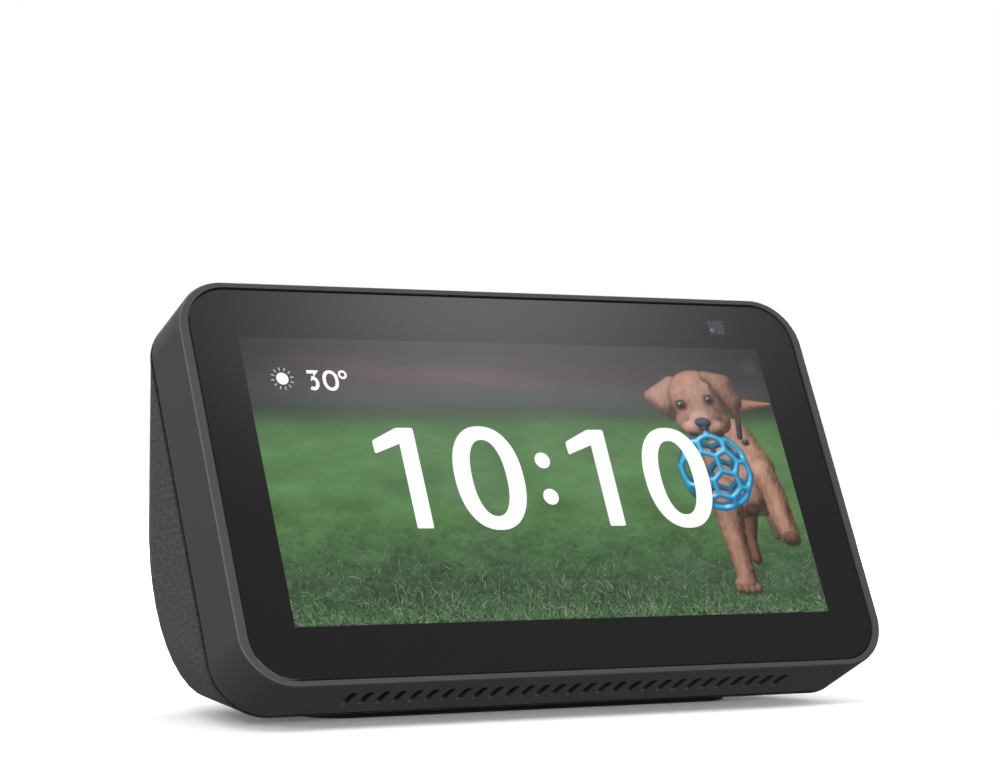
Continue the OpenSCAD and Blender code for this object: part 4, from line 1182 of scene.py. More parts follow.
@dataclass
class LitPicture:
    """The picture that the screen shows, laid on the glass in thin layers.

    Attributes:
        face: Axes of the screen face.
        width: Width of the picture.
        height: Height of the picture.
        step: Distance between the points of the lawn.
        fine_step: Distance between the points of the puppy.
        lift: Height of the first layer over the glass.
        layer: Height of each layer over the one below.
        far_blades: Number of blades of grass behind the puppy.
        near_blades: Number of blades in front of it.
        sign_layer: Layer of the clock and the weather.
    """

    # Colours of the blades, sRGB, and how common each is
    TONES = (
        ("#2f5a2a", 0.2), ("#3f6f38", 0.15), ("#1f3a20", 0.17), ("#55764f", 0.17),
        ("#6c8268", 0.13), ("#77786a", 0.07), ("#2a4a2c", 0.07), ("#8d9284", 0.05),
    )
    # Colour that the far blades fade into
    HAZE = "#46693c"

    face: Face
    width: float = 123.5
    height: float = 61.75
    step: float = 0.3
    fine_step: float = 0.17
    lift: float = 0.012
    layer: float = 0.012
    far_blades: int = 8000
    near_blades: int = 900
    sign_layer: int = 5

    def __post_init__(self) -> None:
        """Finds the glass and mixes the colours of the lawn."""
        self.glass = self.face.depths("front_glass")[1]
        self.meadow = Meadow()
        self.material = self.lit_material()

    @staticmethod
    def lit_material() -> bpy.types.Material:
        """Returns liquid crystal cells lit from behind: colour as light under a mirror."""
        made, tree, shader = blank("liquid_crystal_cells_lit")
        glow = add(tree, "ShaderNodeAttribute", attribute_name="glow")
        feed(tree, shader, {
            "Base Color": linear("#0a0a0a"), "Roughness": 0.05, "IOR": 1.52,
            "Emission Color": glow.outputs["Color"], "Emission Strength": 1.0,
        })
        return made

    def build(self) -> None:
        """Lays the layers from the lawn up to the clock."""
        self.lawn()
        rng = np.random.default_rng(7)
        self.grass("picture_grass_far", rng, self.far_blades, (-30.8, -9.0), 1)
        self.puppy()
        self.grass("picture_grass_near", rng, self.near_blades, (-31.5, -26.0), 3)
        self.clock()
        self.weather()

    def depth(self, layer: int) -> float:
        """Returns the depth of a layer."""
        return self.glass + self.lift + layer * self.layer

    def grid(self, low: tuple, high: tuple, step: float) -> tuple:
        """Makes a flat grid and the places of its points.

        Args:
            low: Lower left corner.
            high: Upper right corner.
            step: Distance between points.

        Returns:
            The mesh, and the places across and up, as rows of points.
        """
        columns = int(round((high[0] - low[0]) / step))
        rows = int(round((high[1] - low[1]) / step))
        mesh = bmesh.new()
        middle = Matrix.Translation(((low[0] + high[0]) / 2, (low[1] + high[1]) / 2, 0.0))
        size = Matrix.Diagonal((high[0] - low[0], high[1] - low[1], 1.0, 1.0))
        bmesh.ops.create_grid(
            mesh, x_segments=columns, y_segments=rows, size=0.5, matrix=middle @ size
        )
        mesh.verts.ensure_lookup_table()
        places = np.array([v.co[:2] for v in mesh.verts]).reshape(rows + 1, columns + 1, 2)
        return mesh, places[..., 0], places[..., 1]

    def lay(
        self, name: str, mesh: bmesh.types.BMesh, colours: Optional[np.ndarray], layer: int
    ) -> None:
        """Moves a flat mesh on to the glass and gives it its light.

        Args:
            name: Name of the piece.
            mesh: The flat mesh, in the face's axes.
            colours: Linear colour of each point, or None if the mesh has them.
            layer: Layer of the picture.
        """
        bmesh.ops.translate(mesh, vec=(0, 0, self.depth(layer)), verts=mesh.verts)
        self.face.place(mesh)
        turn_faces(mesh, self.face.normal)
        piece = finish_mesh(name, mesh, self.material)
        if colours is not None:
            full = np.ones((len(piece.data.vertices), 4), np.float32)
            full[:, :3] = colours.reshape(-1, 3)
            glow = piece.data.attributes.new("glow", "FLOAT_COLOR", "POINT")
            glow.data.foreach_set("color", full.ravel())

    def lawn(self) -> None:
        """Lays the blurred lawn and hedge over the whole picture."""
        half = (self.width / 2, self.height / 2)
        mesh, u, v = self.grid((-half[0], -half[1]), half, self.step)
        self.lay("picture_lawn", mesh, self.meadow(u, v), 0)

    def puppy(self) -> None:
        """Lays the puppy, cut out of a finer grid."""
        mesh, u, v = self.grid((28.5, -27.6), (self.width / 2, 26.4), self.fine_step)
        brush = Painter(u, v, self.meadow(u, v))
        Puppy().paint(brush)
        cover = brush.cover.ravel()
        empty = [f for f in mesh.faces if all(cover[p.index] <= 0 for p in f.verts)]
        layer = mesh.verts.layers.float_color.new("glow")
        colours = brush.colour.reshape(-1, 3)
        for vert in mesh.verts:
            vert[layer] = (*colours[vert.index], 1.0)
        bmesh.ops.delete(mesh, geom=empty, context="FACES")
        self.lay("picture_puppy", mesh, None, 2)

    def grass(
        self, name: str, rng: np.random.Generator, count: int, band: tuple, layer: int
    ) -> None:
        """Lays separate blades of grass over the lawn.

        Args:
            name: Name of the piece.
            rng: Random numbers.
            count: Number of blades.
            band: Lowest and highest root.
            layer: Layer of the picture.
        """
        tones = [rgb(colour) for colour, _ in self.TONES]
        weights = np.array([weight for _, weight in self.TONES])
        mesh = bmesh.new()
        paint = mesh.verts.layers.float_color.new("glow")
        half = (self.width / 2, self.height / 2)
        roots = band[0] + (band[1] - band[0]) * rng.random(count) ** 1.9
        for root in sorted(roots, reverse=True):
            near = np.clip((band[1] - root) / (band[1] - band[0] + 1e-9), 0, 1)
            size = (0.5 + 1.25 * near) * rng.uniform(0.5, 1.7)
            lean, bend = rng.normal(0.0, 0.85), rng.normal(0.0, 0.3)
            thick = rng.uniform(0.035, 0.1) * (0.75 + 0.5 * near)
            x = rng.uniform(-half[0], half[0])
            tone = tones[rng.choice(len(tones), p=weights / weights.sum())]
            tone = tone * rng.uniform(0.6, 1.95)
            tone = rgb(self.HAZE) * (0.75 - 0.75 * near) + tone * (0.25 + 0.75 * near)
            strip = bmesh.ops.create_grid(mesh, x_segments=1, y_segments=3, size=0.5)
            for vert in strip["verts"]:
                t = vert.co.y + 0.5
                turn = lean + bend * t
                across = 2 * vert.co.x * thick * (1 - 0.85 * t)
                px = x + size * t * math.sin(turn) + across * math.cos(turn)
                py = root + size * t * math.cos(turn) - across * math.sin(turn)
                vert.co = (min(max(px, -half[0]), half[0]), min(max(py, -half[1]), half[1]), 0.0)
                vert[paint] = (*(tone * (0.65 + 0.5 * t)), 1.0)
        self.lay(name, mesh, None, layer)

    def white(self, name: str, mesh: bmesh.types.BMesh, level: float = 1.0) -> None:
        """Lays a flat white sign on the top layer."""
        self.lay(name, mesh, np.full((len(mesh.verts), 3), level), self.sign_layer)

    def clock(self) -> None:
        """Lays the time as four rounded figures and a colon."""
        for index, (x, y, tall) in enumerate(((-29.25, 0.15, 22.0), (15.3, 0.15, 21.8))):
            self.white(f"clock_one_{index}", self.one(x, y, tall))
        for index, x in enumerate((-12.3, 32.6)):
            nought = ring((x, 0.12), (7.95, 11.5), (3.98, 8.45), 2.25)
            self.white(f"clock_nought_{index}", nought)
        for index, y in enumerate((4.0, -4.15)):
            self.white(f"clock_colon_{index}", disc((0.95, y), 1.78))

    @staticmethod
    def one(x: float, y: float, tall: float) -> bmesh.types.BMesh:
        """Makes the figure one with a slanted flag and eased corners.

        Args:
            x: Middle of its stem.
            y: Middle of its height.
            tall: Its height.

        Returns:
            The mesh in millimetres.
        """
        half, top, foot = 1.85, y + tall / 2, y - tall / 2
        outline = [
            (x - half, foot), (x + half, foot), (x + half, top), (x - half - 0.15, top),
            (x - 7.85, top - 2.85), (x - 7.75, top - 5.75), (x - half, top - 3.55),
        ]
        return outline_plate(outline, (0.35, 0.35, 0.5, 0.5, 0.5, 0.5, 0.0))

    def weather(self) -> None:
        """Lays the sun sign and the temperature."""
        sun = (-53.95, 21.75)
        self.white("weather_sun", disc(sun, 1.32))
        for index in range(12):
            angle = math.radians(30 * index + 9)
            a, b = [
                (sun[0] + reach * math.cos(angle), sun[1] + reach * math.sin(angle))
                for reach in (1.78, 2.5)
            ]
            self.white(f"weather_ray_{index}", bar(a, b, 0.25), 0.55)
        self.white("weather_three", three((-47.35, 21.5), 4.45, 0.74))
        nought = ring((-43.4, 21.5), (1.75, 2.27), (1.02, 1.57), 2.2)
        self.white("weather_nought", nought)
        degree = ring((-40.55, 22.85), (0.98, 0.98), (0.48, 0.48), 2.0)
        self.white("weather_degree", degree)


def outline_plate(outline: Sequence[tuple], radii: Sequence[float]) -> bmesh.types.BMesh:
    """Makes a flat face from an outline with rounded corners.

    Args:
        outline: Corners in order.
        radii: Radius at each corner.

    Returns:
        The mesh in millimetres.
    """
    mesh = bmesh.new()
    mesh.faces.new([mesh.verts.new((*p, 0.0)) for p in outline])
    corners = list(mesh.verts)
    for corner, radius in zip(corners, radii):
        if radius > 0:
            bmesh.ops.bevel(
                mesh, geom=[corner], offset=radius, offset_type="OFFSET", segments=5,
                profile=0.5, affect="VERTICES", material=-1,
            )
    bmesh.ops.triangulate(mesh, faces=mesh.faces)
    return mesh


def ring(
    centre: tuple, outer: tuple, inner: tuple, power: float, segments: int = 96
) -> bmesh.types.BMesh:
    """Makes a flat ring between two rounded outlines.

    Args:
        centre: Middle of the ring.
        outer: Half width and half height outside.
        inner: Half width and half height inside.
        power: 2 for an ellipse, more for a squarer shape.
        segments: Steps round it.

    Returns:
        The mesh in millimetres.
    """
    mesh = bmesh.new()
    bmesh.ops.create_circle(mesh, segments=segments, radius=1.0)
    grown = bmesh.ops.extrude_edge_only(mesh, edges=mesh.edges[:])
    inside = {g for g in grown["geom"] if isinstance(g, bmesh.types.BMVert)}
    for vert in mesh.verts:
        size = inner if vert in inside else outer
        x, y = vert.co.x, vert.co.y
        swell = (abs(x) ** power + abs(y) ** power) ** (-1 / power)
        vert.co = (centre[0] + x * swell * size[0], centre[1] + y * swell * size[1], 0.0)
    return mesh


def disc(centre: tuple, radius: float) -> bmesh.types.BMesh:
    """Makes a flat disc.

    Args:
        centre: Its middle.
        radius: Its radius.

    Returns:
        The mesh in millimetres.
    """
    mesh = bmesh.new()
    place = Matrix.Translation((*centre, 0.0))
    bmesh.ops.create_circle(
        mesh, cap_ends=True, cap_tris=True, segments=48, radius=radius, matrix=place
    )
    return mesh


def bar(start: tuple, end: tuple, thick: float) -> bmesh.types.BMesh:
    """Makes a flat bar with round ends.

    Args:
        start: One end.
        end: The other end.
        thick: Its thickness.

    Returns:
        The mesh in millimetres.
    """
    mesh = bmesh.new()
    a, b = Vector(start), Vector(end)
    run = b - a
    turn = Matrix.Rotation(math.atan2(run.y, run.x), 4, "Z")
    size = Matrix.Diagonal((run.length, thick, 1.0, 1.0))
    place = Matrix.Translation((*((a + b) / 2), 0.0)) @ turn @ size
    bmesh.ops.create_grid(mesh, x_segments=1, y_segments=1, size=0.5, matrix=place)
    bmesh.ops.bevel(
        mesh, geom=mesh.verts[:], offset=thick * 0.48, offset_type="OFFSET", segments=5,
        profile=0.5, affect="VERTICES", material=-1,
    )
    return mesh


def three(centre: tuple, tall: float, stroke: float) -> bmesh.types.BMesh:
    """Makes the figure three as one stroke with square ends.

    Args:
        centre: Middle of the figure.
        tall: Its height.
        stroke: Its thickness.

    Returns:
        The mesh in millimetres.
    """
    x, y, h = centre[0], centre[1], tall / 2 - stroke / 2
    path = [(x - 1.05, y + h), (x + 0.95, y + h), (x - 0.05, y + 0.42)]
    bowl = [
        (x - 0.05 + 1.0 * math.cos(t), y - h + 1.19 + 1.22 * math.sin(t))
        for t in np.linspace(math.radians(85), math.radians(-128), 16)
    ]
    line = [Vector(p) for p in path + bowl]
    mesh = bmesh.new()
    edge = []
    for i, p in enumerate(line):
        before = line[max(i - 1, 0)]
        after = line[min(i + 1, len(line) - 1)]
        run_in, run_out = (p - before), (after - p)
        run_in = run_in.normalized() if run_in.length > 1e-6 else run_out.normalized()
        run_out = run_out.normalized() if run_out.length > 1e-6 else run_in
        along = (run_in + run_out).normalized()
        side = Vector((-along.y, along.x))
        reach = stroke / 2 / max(side.dot(Vector((-run_in.y, run_in.x))), 0.5)
        edge.append([mesh.verts.new((*(p + side * s * reach), 0.0)) for s in (-1, 1)])
    for (a, b), (c, d) in zip(edge, edge[1:]):
        mesh.faces.new((a, c, d, b))
    return mesh


@dataclass
class FabricCover:
    """Woven cover stretched over the rear shell, with its stitched edge.

    Attributes:
        face: Axes of the screen face.
        thread: Spacing of the threads, about twice as coarse as real cloth, so that it shows.
        thread_height: Height of a thread.
        stitch_pitch: Spacing of the thread ends along the seam.
        stitch: Half size of a thread end along the seam, across it and into the groove.
        groove: Width of the dark groove behind the housing.
        corner: Corner radius of the seam.
        inset: How far the thread ends sit in from the housing's sides.
        folded: Share of the cover's depth that its flat blank adds on each side; not used.
    """

    face: Face
    thread: float = 0.52
    thread_height: float = 0.14
    stitch_pitch: float = 0.57
    stitch: tuple = (0.17, 0.26, 0.75)
    groove: float = 0.6
    corner: float = 10.8
    inset: float = 0.16
    folded: float = 0.62

    def build(self) -> None:
        """Builds the cover and its edge of thread ends."""
        self.cover()
        self.stitches()

    def cover(self) -> None:
        """Takes the shape of the CAD cover's outside and smooths its facets."""
        mesh = node_copy("fabric_cover")
        bmesh.ops.triangulate(mesh, faces=mesh.faces)
        data = as_mesh("woven_cover", mesh)
        data.shade_smooth()
        data.set_sharp_from_angle(angle=math.radians(35))
        uv = data.uv_layers.new(name="weave")
        for poly in data.polygons:
            look = [abs(c) for c in poly.normal]
            for loop in poly.loop_indices:
                spot = data.vertices[data.loops[loop].vertex_index].co / MM
                if look[1] >= look[0] and look[1] >= look[2]:
                    place = (spot.x, spot.z)
                elif look[0] >= look[2]:
                    place = (spot.y, spot.z)
                else:
                    place = (spot.x, spot.y)
                uv.data[loop].uv = place
        data.materials.append(self.woven())
        piece = placed("woven_cover", data)
        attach(piece, BODY)
        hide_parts("fabric_cover")

    def woven(self) -> bpy.types.Material:
        """Returns melange polyester, plain weave: mottled grey threads that glow at a slant."""
        made, tree, shader = blank("polyester_cloth_plain_weave")
        coords = add(tree, "ShaderNodeUVMap", uv_map="weave")
        turned = {"Vector": coords.outputs["UV"], "Rotation": (0.0, 0.0, math.radians(45))}
        place = add(tree, "ShaderNodeMapping", turned).outputs[0]
        rate = 1 / self.thread / WAVE_BANDS
        bands = {"Vector": place, "Scale": rate, "Distortion": 0.6, "Detail Scale": 3.0}
        warp, weft = [
            add(tree, "ShaderNodeTexWave", bands, bands_direction=way).outputs["Fac"]
            for way in ("X", "Y")
        ]
        weave = add(tree, "ShaderNodeMath", {0: warp, 1: weft}, operation="MULTIPLY").outputs[0]
        # Long slubs of darker yarn, and shorter fuzz that runs across them
        shades = []
        for turn, stretch in ((14, (0.34, 1.35, 1.0)), (-20, (0.9, 2.3, 1.0))):
            way = {
                "Vector": coords.outputs["UV"], "Rotation": (0.0, 0.0, math.radians(turn)),
                "Scale": stretch,
            }
            along = add(tree, "ShaderNodeMapping", way).outputs[0]
            yarn = {"Vector": along, "Scale": 1.0, "Detail": 2.0}
            shades.append(add(tree, "ShaderNodeTexNoise", yarn).outputs[0])
        tone = add(tree, "ShaderNodeMath", {0: shades[0], 1: shades[1]}, operation="ADD")
        sums = {0: weave, 1: 0.3, 2: tone.outputs[0]}
        shade = add(tree, "ShaderNodeMath", sums, operation="MULTIPLY_ADD")
        span = {"Value": shade.outputs[0], "From Min": 0.87, "From Max": 1.35}
        share = add(tree, "ShaderNodeMapRange", span).outputs[0]
        tones = {0: share, 6: linear("#050506"), 7: linear("#454549")}
        mix = add(tree, "ShaderNodeMix", tones, data_type="RGBA")
        depth = {"Height": weave, "Distance": self.thread_height * MM, "Strength": 1.0}
        bump = add(tree, "ShaderNodeBump", depth)
        feed(tree, shader, {
            "Base Color": mix.outputs[2], "Normal": bump.outputs[0], "Roughness": 0.92,
            "Sheen Weight": 0.12, "Sheen Roughness": 0.5,
        })
        return made

    def stitches(self) -> None:
        """Lays the thread ends that show as a dotted line along the seam, near black: their own
        colour and painted shade of the gap.
        """
        back = self.face.depths("front_housing")[0]
        half_w, half_h = self.face.width / 2, self.face.height / 2
        straight = 4 * (half_w + half_h - 2 * self.corner)
        around = straight + 2 * math.pi * self.corner
        count = int(around / self.stitch_pitch)
        depth = back - self.groove - 0.25
        mesh = bmesh.new()
        for index in range(count):
            spot, angle = self.walk(
                index * around / count, half_w - self.inset, half_h - self.inset, self.corner
            )
            place = Matrix.Translation((spot[0], spot[1], depth)) @ Matrix.Rotation(angle, 4, "Z")
            place = place @ Matrix.Diagonal((*self.stitch, 1.0))
            bmesh.ops.create_icosphere(mesh, subdivisions=1, radius=1.0, matrix=place)
        self.face.place(mesh)
        # Near-black thread ends: partly real thread, partly painted shade in the seam's gap
        finish_mesh("seam_stitches_painted_shade", mesh, SEAM_SHADE_THREAD.material())

    @staticmethod
    def walk(along: float, half_w: float, half_h: float, corner: float) -> tuple:
        """Walks round a rounded rectangle.

        Args:
            along: Distance walked.
            half_w: Half its width.
            half_h: Half its height.
            corner: Radius of its corners.

        Returns:
            The place and the heading in radians.
        """
        quarter = math.pi * corner / 2
        legs = [2 * (half_h - corner), 2 * (half_w - corner)] * 2
        middles = [(1, 1), (-1, 1), (-1, -1), (1, -1)]
        spot, heading = Vector((half_w, -half_h + corner)), math.pi / 2
        for leg, (sx, sy) in zip(legs, middles):
            if along <= leg:
                return tuple(spot + along * Vector((math.cos(heading), math.sin(heading)))), heading
            along -= leg
            middle = Vector((sx * (half_w - corner), sy * (half_h - corner)))
            start = heading - math.pi / 2
            turn = min(along / corner, math.pi / 2)
            spot = middle + corner * Vector((math.cos(start + turn), math.sin(start + turn)))
            if along <= quarter:
                return tuple(spot), heading + turn
            along -= quarter
            heading += math.pi / 2
        return tuple(spot), heading


@dataclass
class TopControls:
    """Buttons, their printed signs and the shutter knob on the top wall.

    Attributes:
        face: Axes of the screen face.
        ease: Size of the bevel round each cap.
        ink: Height of the print.
        line: Width of a printed line.
        arm: Half length of the plus and the minus.
    """

    face: Face
    ease: float = 0.3
    ink: float = 0.02
    line: float = 0.32
    arm: float = 1.1

    def build(self) -> None:
        """Builds each moving piece on its own body."""
        for node, sign in (
            ("mute_button", self.mute_sign),
            ("volume_down_button", self.minus_sign),
            ("volume_up_button", self.plus_sign),
        ):
            self.cap(node, node)
            sign(node, self.face.middle(node))
        self.cap("shutter_knob", "camera_shutter")

    def cap(self, node: str, body: str) -> None:
        """Eases the edges of a CAD cap.

        Args:
            node: CAD node of the cap.
            body: Body that it rides on.
        """
        mesh = node_copy(node)
        top = max(v.co.dot(self.face.up) for v in mesh.verts)

        def on_top(edge: bmesh.types.BMEdge) -> bool:
            """Tells an edge of the top of the cap."""
            return all(abs(v.co.dot(self.face.up) - top) < SAME for v in edge.verts)

        ease_edges(mesh, self.ease * MM, on_top, 3)
        piece = finish_mesh(
            f"{node}_cap", mesh, BUTTON.material(), body, even=True
        )
        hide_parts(node)

    def ink_on(self, node: str, part: str, mesh: bmesh.types.BMesh, spot: Vector) -> None:
        """Prints a flat sign on the top of a button.

        Args:
            node: The button, which is also the body that the sign rides on.
            part: Name of this part of the sign.
            mesh: The flat sign, in millimetres.
            spot: Middle of the button as x, v, n in millimetres.
        """
        top = self.face.span(node, self.face.up)[1] + self.ink * MM
        mid = self.face.matrix() @ Vector((spot.x, 0.0, spot.z))
        lift = self.face.up * (top - mid.dot(self.face.up))
        axes = Matrix((self.face.right, -self.face.normal, self.face.up)).transposed()
        size = axes.to_4x4() @ Matrix.Diagonal((-MM, -MM, MM, 1))
        place = Matrix.Translation(mid + lift) @ size
        bmesh.ops.transform(mesh, matrix=place, verts=mesh.verts)
        turn_faces(mesh, self.face.up)
        finish_mesh(f"{node}_{part}", mesh, PRINT.material(), node)

    def plus_sign(self, node: str, spot: Vector) -> None:
        """Prints a plus."""
        self.minus_sign(node, spot)
        self.ink_on(node, "post", bar((0, -self.arm), (0, self.arm), self.line), spot)

    def minus_sign(self, node: str, spot: Vector) -> None:
        """Prints a minus."""
        self.ink_on(node, "bar", bar((-self.arm, 0), (self.arm, 0), self.line), spot)

    def mute_sign(self, node: str, spot: Vector) -> None:
        """Prints a circle with a slash."""
        self.ink_on(node, "ring", ring((0, 0), (1.25, 1.25), (0.97, 0.97), 2.0, 48), spot)
        self.ink_on(node, "slash", bar((-0.8, -0.8), (0.8, 0.8), 0.28), spot)


@dataclass
class Underside:
    """Port panel, base plate and rubber foot, with eased edges."""

    edge: float = 0.3

    def build(self) -> None:
        """Eases the outer edges of each plate: the panel's at the back, the others' below."""
        self.plate("port_panel", FRAME_PLASTIC, 1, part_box("port_panel")[1].y)
        self.plate("base_plate", FRAME_PLASTIC, 2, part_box("base_plate")[0].z)
        self.plate("rubber_foot", RUBBER, 2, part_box("rubber_foot")[0].z)

    def plate(self, node: str, finish: Finish, axis: int, level: float) -> None:
        """Eases the edges of a CAD plate that lie at one level.

        Args:
            node: CAD node of the plate.
            finish: Its finish.
            axis: 1 for a level along y, 2 for one along z.
            level: Place of the outside face, in metres.
        """
        mesh = node_copy(node)

        def outer(edge: bmesh.types.BMEdge) -> bool:
            """Tells an edge on the outside face."""
            return all(abs(v.co[axis] - level) < SAME for v in edge.verts)

        ease_edges(mesh, self.edge * MM, outer, 2)
        piece = finish_mesh(
            f"{node}_moulded", mesh, finish.material(), BODY, even=True
        )
        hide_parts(node)


def dress_nodes() -> None:
    """Gives every CAD node its real material."""
    for node, finish in NODE_FINISH.items():
        data = frame["nodes"][node].data
        data.materials.clear()
        data.materials.append(finish.material())


@dataclass(frozen=True)
class SoftBox:
    """A flat lamp with a soft edge.

    Attributes:
        name: Name of the lamp.
        spot: Where it hangs, in metres.
        aim: What it points at, in metres.
        size: Its width and height, in metres.
        watts: Its power.
    """

    name: str
    spot: tuple
    aim: tuple
    size: tuple
    watts: float

    def hang(self) -> None:
        """Puts the lamp in the scene, out of the camera's sight."""
        data = bpy.data.lights.new(self.name, "AREA")
        data.shape = "RECTANGLE"
        data.size, data.size_y = self.size
        data.energy = self.watts
        lamp = placed(self.name, data)
        lamp.visible_camera = False
        lamp.matrix_world = aimed(self.spot, self.aim)


@dataclass
class Studio:
    """Pale floor that glows with painted light, soft lamps and the camera.

    Attributes:
        face: Axes of the screen face.
        focal_mm: Focal length of the lens.
        eye: Place of the camera as x, v, n in millimetres.
        aim: What it points at, likewise.
        glow_spot: How far left of the middle of the glass the lit card is mirrored, and how far
            under its upper edge, in millimetres.
        glow_far: Distance of the lit card along the mirrored ray, in metres.
        glow_reach: Half width and half height of the bright part of the card, in metres.
        glow_level: Strength at the card's centre.
    """

    LAMPS = (
        SoftBox("softbox_top", (-0.25, 0.1, 1.25), (0.0, 0.0, 0.0), (1.3, 1.0), 11.0),
        SoftBox("softbox_left", (-1.1, -0.45, 0.1), (0.0, 0.0, 0.06), (0.6, 0.5), 6.5),
        SoftBox("softbox_rim", (-0.92, -0.36, 0.7), (0.0, 0.0, 0.06), (0.35, 0.3), 3.2),
        SoftBox("softbox_back", (0.55, 1.0, 0.5), (0.0, 0.0, 0.06), (0.8, 1.0), 7.0),
        SoftBox("softbox_front", (-0.1, -1.25, 0.3), (0.0, 0.0, 0.04), (1.2, 0.2), 8.0),
        SoftBox("softbox_right", (1.0, 0.45, 0.34), (0.0, 0.0, 0.06), (0.9, 0.6), 16.0),
    )

    face: Face
    focal_mm: float = 104.0
    eye: tuple = (-297.15, -214.91, 458.56)
    aim: tuple = (-4.99, 20.8, 0.0)
    glow_spot: tuple = (5.0, 1.5)
    glow_far: float = 1.5
    glow_reach: tuple = (0.165, 0.095)
    glow_level: float = 2.25

    def build(self) -> None:
        """Builds the floor, the world, the lamps and the camera."""
        self.floor()
        self.world()
        self.glow_card()
        for lamp in self.LAMPS:
            lamp.hang()
        self.camera()
        scene = bpy.context.scene
        scene.view_settings.view_transform = "Standard"
        scene.view_settings.look = "None"
        scene.view_settings.exposure = 0.0
        scene.view_settings.gamma = 1.0

    def floor(self) -> None:
        """Lays a wide matt paper floor under the foot, which glows with painted light."""
        mesh = bmesh.new()
        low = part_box("rubber_foot")[0].z
        place = Matrix.Translation((0, 0, low))
        bmesh.ops.create_grid(mesh, x_segments=8, y_segments=8, size=6.0, matrix=place)
        data = as_mesh("studio_floor", mesh)
        data.materials.append(self.paper())
        floor = placed("studio_floor", data)
        floor.visible_diffuse = False
        floor.visible_glossy = False

    @staticmethod
    def paper() -> bpy.types.Material:
        """Returns plain matt white card with a painted glow: faint next to the object, so that the
        lamps' shade shows there, and full away from it.
        """
        made, tree, shader = blank("white_card_painted_light")
        place = add(tree, "ShaderNodeTexCoord").outputs["Object"]
        grain = {"Vector": place, "Scale": 900.0, "Detail": 3.0}
        fibre = add(tree, "ShaderNodeTexNoise", grain)
        tone = {"Value": fibre.outputs[0], "To Min": 0.86, "To Max": 0.9}
        # Painted glow: the card glows at a tenth of full strength within 0.12 m of the object and
        # fully past 0.6 m
        away = add(tree, "ShaderNodeVectorMath", {0: place}, operation="LENGTH").outputs["Value"]
        rise = {"Value": away, "From Min": 0.12, "From Max": 0.6, "To Min": 0.1, "To Max": 1.0}
        painted_glow_level = add(tree, "ShaderNodeMapRange", rise, interpolation_type="SMOOTHSTEP")
        feed(tree, shader, {
            "Base Color": add(tree, "ShaderNodeMapRange", tone).outputs[0],
            "Emission Color": linear("#ffffff"), "Emission Strength": painted_glow_level.outputs[0],
            "Roughness": 0.95, "Specular IOR Level": 0.1,
        })
        return made

    @staticmethod
    def world() -> None:
        """Makes a white backdrop that lights the object only dimly, from above the floor."""
        world = bpy.data.worlds.new("studio")
        world.use_nodes = True
        tree = world.node_tree
        shader = tree.nodes["Background"]
        coords = add(tree, "ShaderNodeTexCoord")
        split = add(tree, "ShaderNodeSeparateXYZ", {0: coords.outputs["Generated"]})
        rise = {
            "Value": split.outputs["Z"], "From Min": -0.05, "From Max": 0.12,
            "To Min": 0.14, "To Max": 0.36,
        }
        dim = add(tree, "ShaderNodeMapRange", rise).outputs[0]
        seen = add(tree, "ShaderNodeLightPath").outputs["Is Camera Ray"]
        level = add(tree, "ShaderNodeMath", {0: dim, 1: seen}, operation="MAXIMUM")
        feed(tree, shader, {"Strength": level.outputs[0], "Color": linear("#ffffff")})
        bpy.context.scene.world = world

    def glow_card(self) -> None:
        """Hangs a lit card where the middle of the glass mirrors it, brightest at its centre."""
        left, below = self.glow_spot
        mirrored = Vector((-left, self.face.height / 2 - below, 0.0))
        ray = mirrored - Vector(self.eye)
        ray.z = -ray.z
        look = (self.face.matrix().to_3x3() @ ray).normalized()
        spot = self.face.matrix() @ mirrored + look * self.glow_far
        across = (self.face.right - look * look.dot(self.face.right)).normalized()
        rise = look.cross(across)
        mesh = bmesh.new()
        place = Matrix.Translation(spot) @ Matrix((across, rise, look)).transposed().to_4x4()
        bmesh.ops.create_grid(mesh, x_segments=4, y_segments=4, size=0.7, matrix=place)
        data = as_mesh("glow_card", mesh)
        card = placed("glow_card", data)
        made, tree, shader = blank("lit_diffuser_cloth")
        tree.nodes.remove(shader)
        coords = add(tree, "ShaderNodeTexCoord")
        away = {0: coords.outputs["Object"], 1: spot}
        local = add(tree, "ShaderNodeVectorMath", away, operation="SUBTRACT").outputs[0]
        squares = []
        for axis, reach in zip((across, rise), self.glow_reach):
            part = {0: local, 1: axis / reach}
            share = add(tree, "ShaderNodeVectorMath", part, operation="DOT_PRODUCT")
            twice = {0: share.outputs["Value"], 1: share.outputs["Value"]}
            squares.append(add(tree, "ShaderNodeMath", twice, operation="MULTIPLY").outputs[0])
        # A bell shape: e to the minus of the squared distance from the centre
        power = add(tree, "ShaderNodeMath", dict(enumerate(squares)), operation="ADD")
        for step, value in (("MULTIPLY", -1.0), ("EXPONENT", 0.0), ("MULTIPLY", self.glow_level)):
            power = add(tree, "ShaderNodeMath", {0: power.outputs[0], 1: value}, operation=step)
        glow = add(tree, "ShaderNodeEmission", {"Strength": power.outputs[0]})
        clear = add(tree, "ShaderNodeBsdfTransparent")
        join = add(tree, "ShaderNodeAddShader", {0: glow.outputs[0], 1: clear.outputs[0]})
        feed(tree, tree.nodes["Material Output"], {"Surface": join.outputs[0]})
        data.materials.append(made)
        card.visible_camera = False
        card.visible_diffuse = False
        card.visible_shadow = False
        card.visible_transmission = False

    def camera(self) -> None:
        """Places the camera in front, to the left and a little above the screen's middle."""
        data = bpy.data.cameras.new("studio_camera")
        data.lens = self.focal_mm
        data.sensor_width = 36.0
        data.dof.use_dof = False
        data.clip_start = 0.01
        view = placed("studio_camera", data)
        to_frame = self.face.matrix()
        view.matrix_world = aimed(to_frame @ Vector(self.eye), to_frame @ Vector(self.aim))
        bpy.context.scene.camera = view


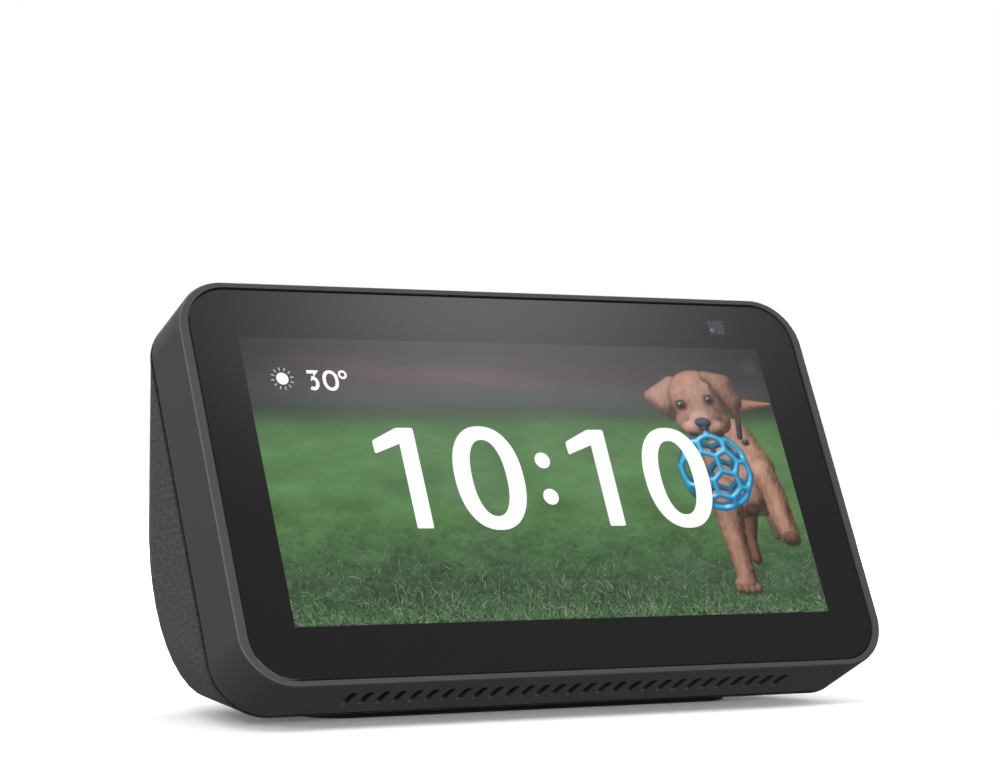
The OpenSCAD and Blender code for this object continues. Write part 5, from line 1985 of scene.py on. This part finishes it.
def main() -> None:
    """Builds the display, then the studio round it."""
    logging.basicConfig(level=logging.INFO, format="%(name)s: %(message)s")
    face = Face()
    dress_nodes()
    FrontHousing(face).build()
    CoverGlass(face).build()
    LitPicture(face).build()
    FabricCover(face).build()
    TopControls(face).build()
    Underside().build()
    Studio(face).build()


if __name__ == "__main__":
    main()
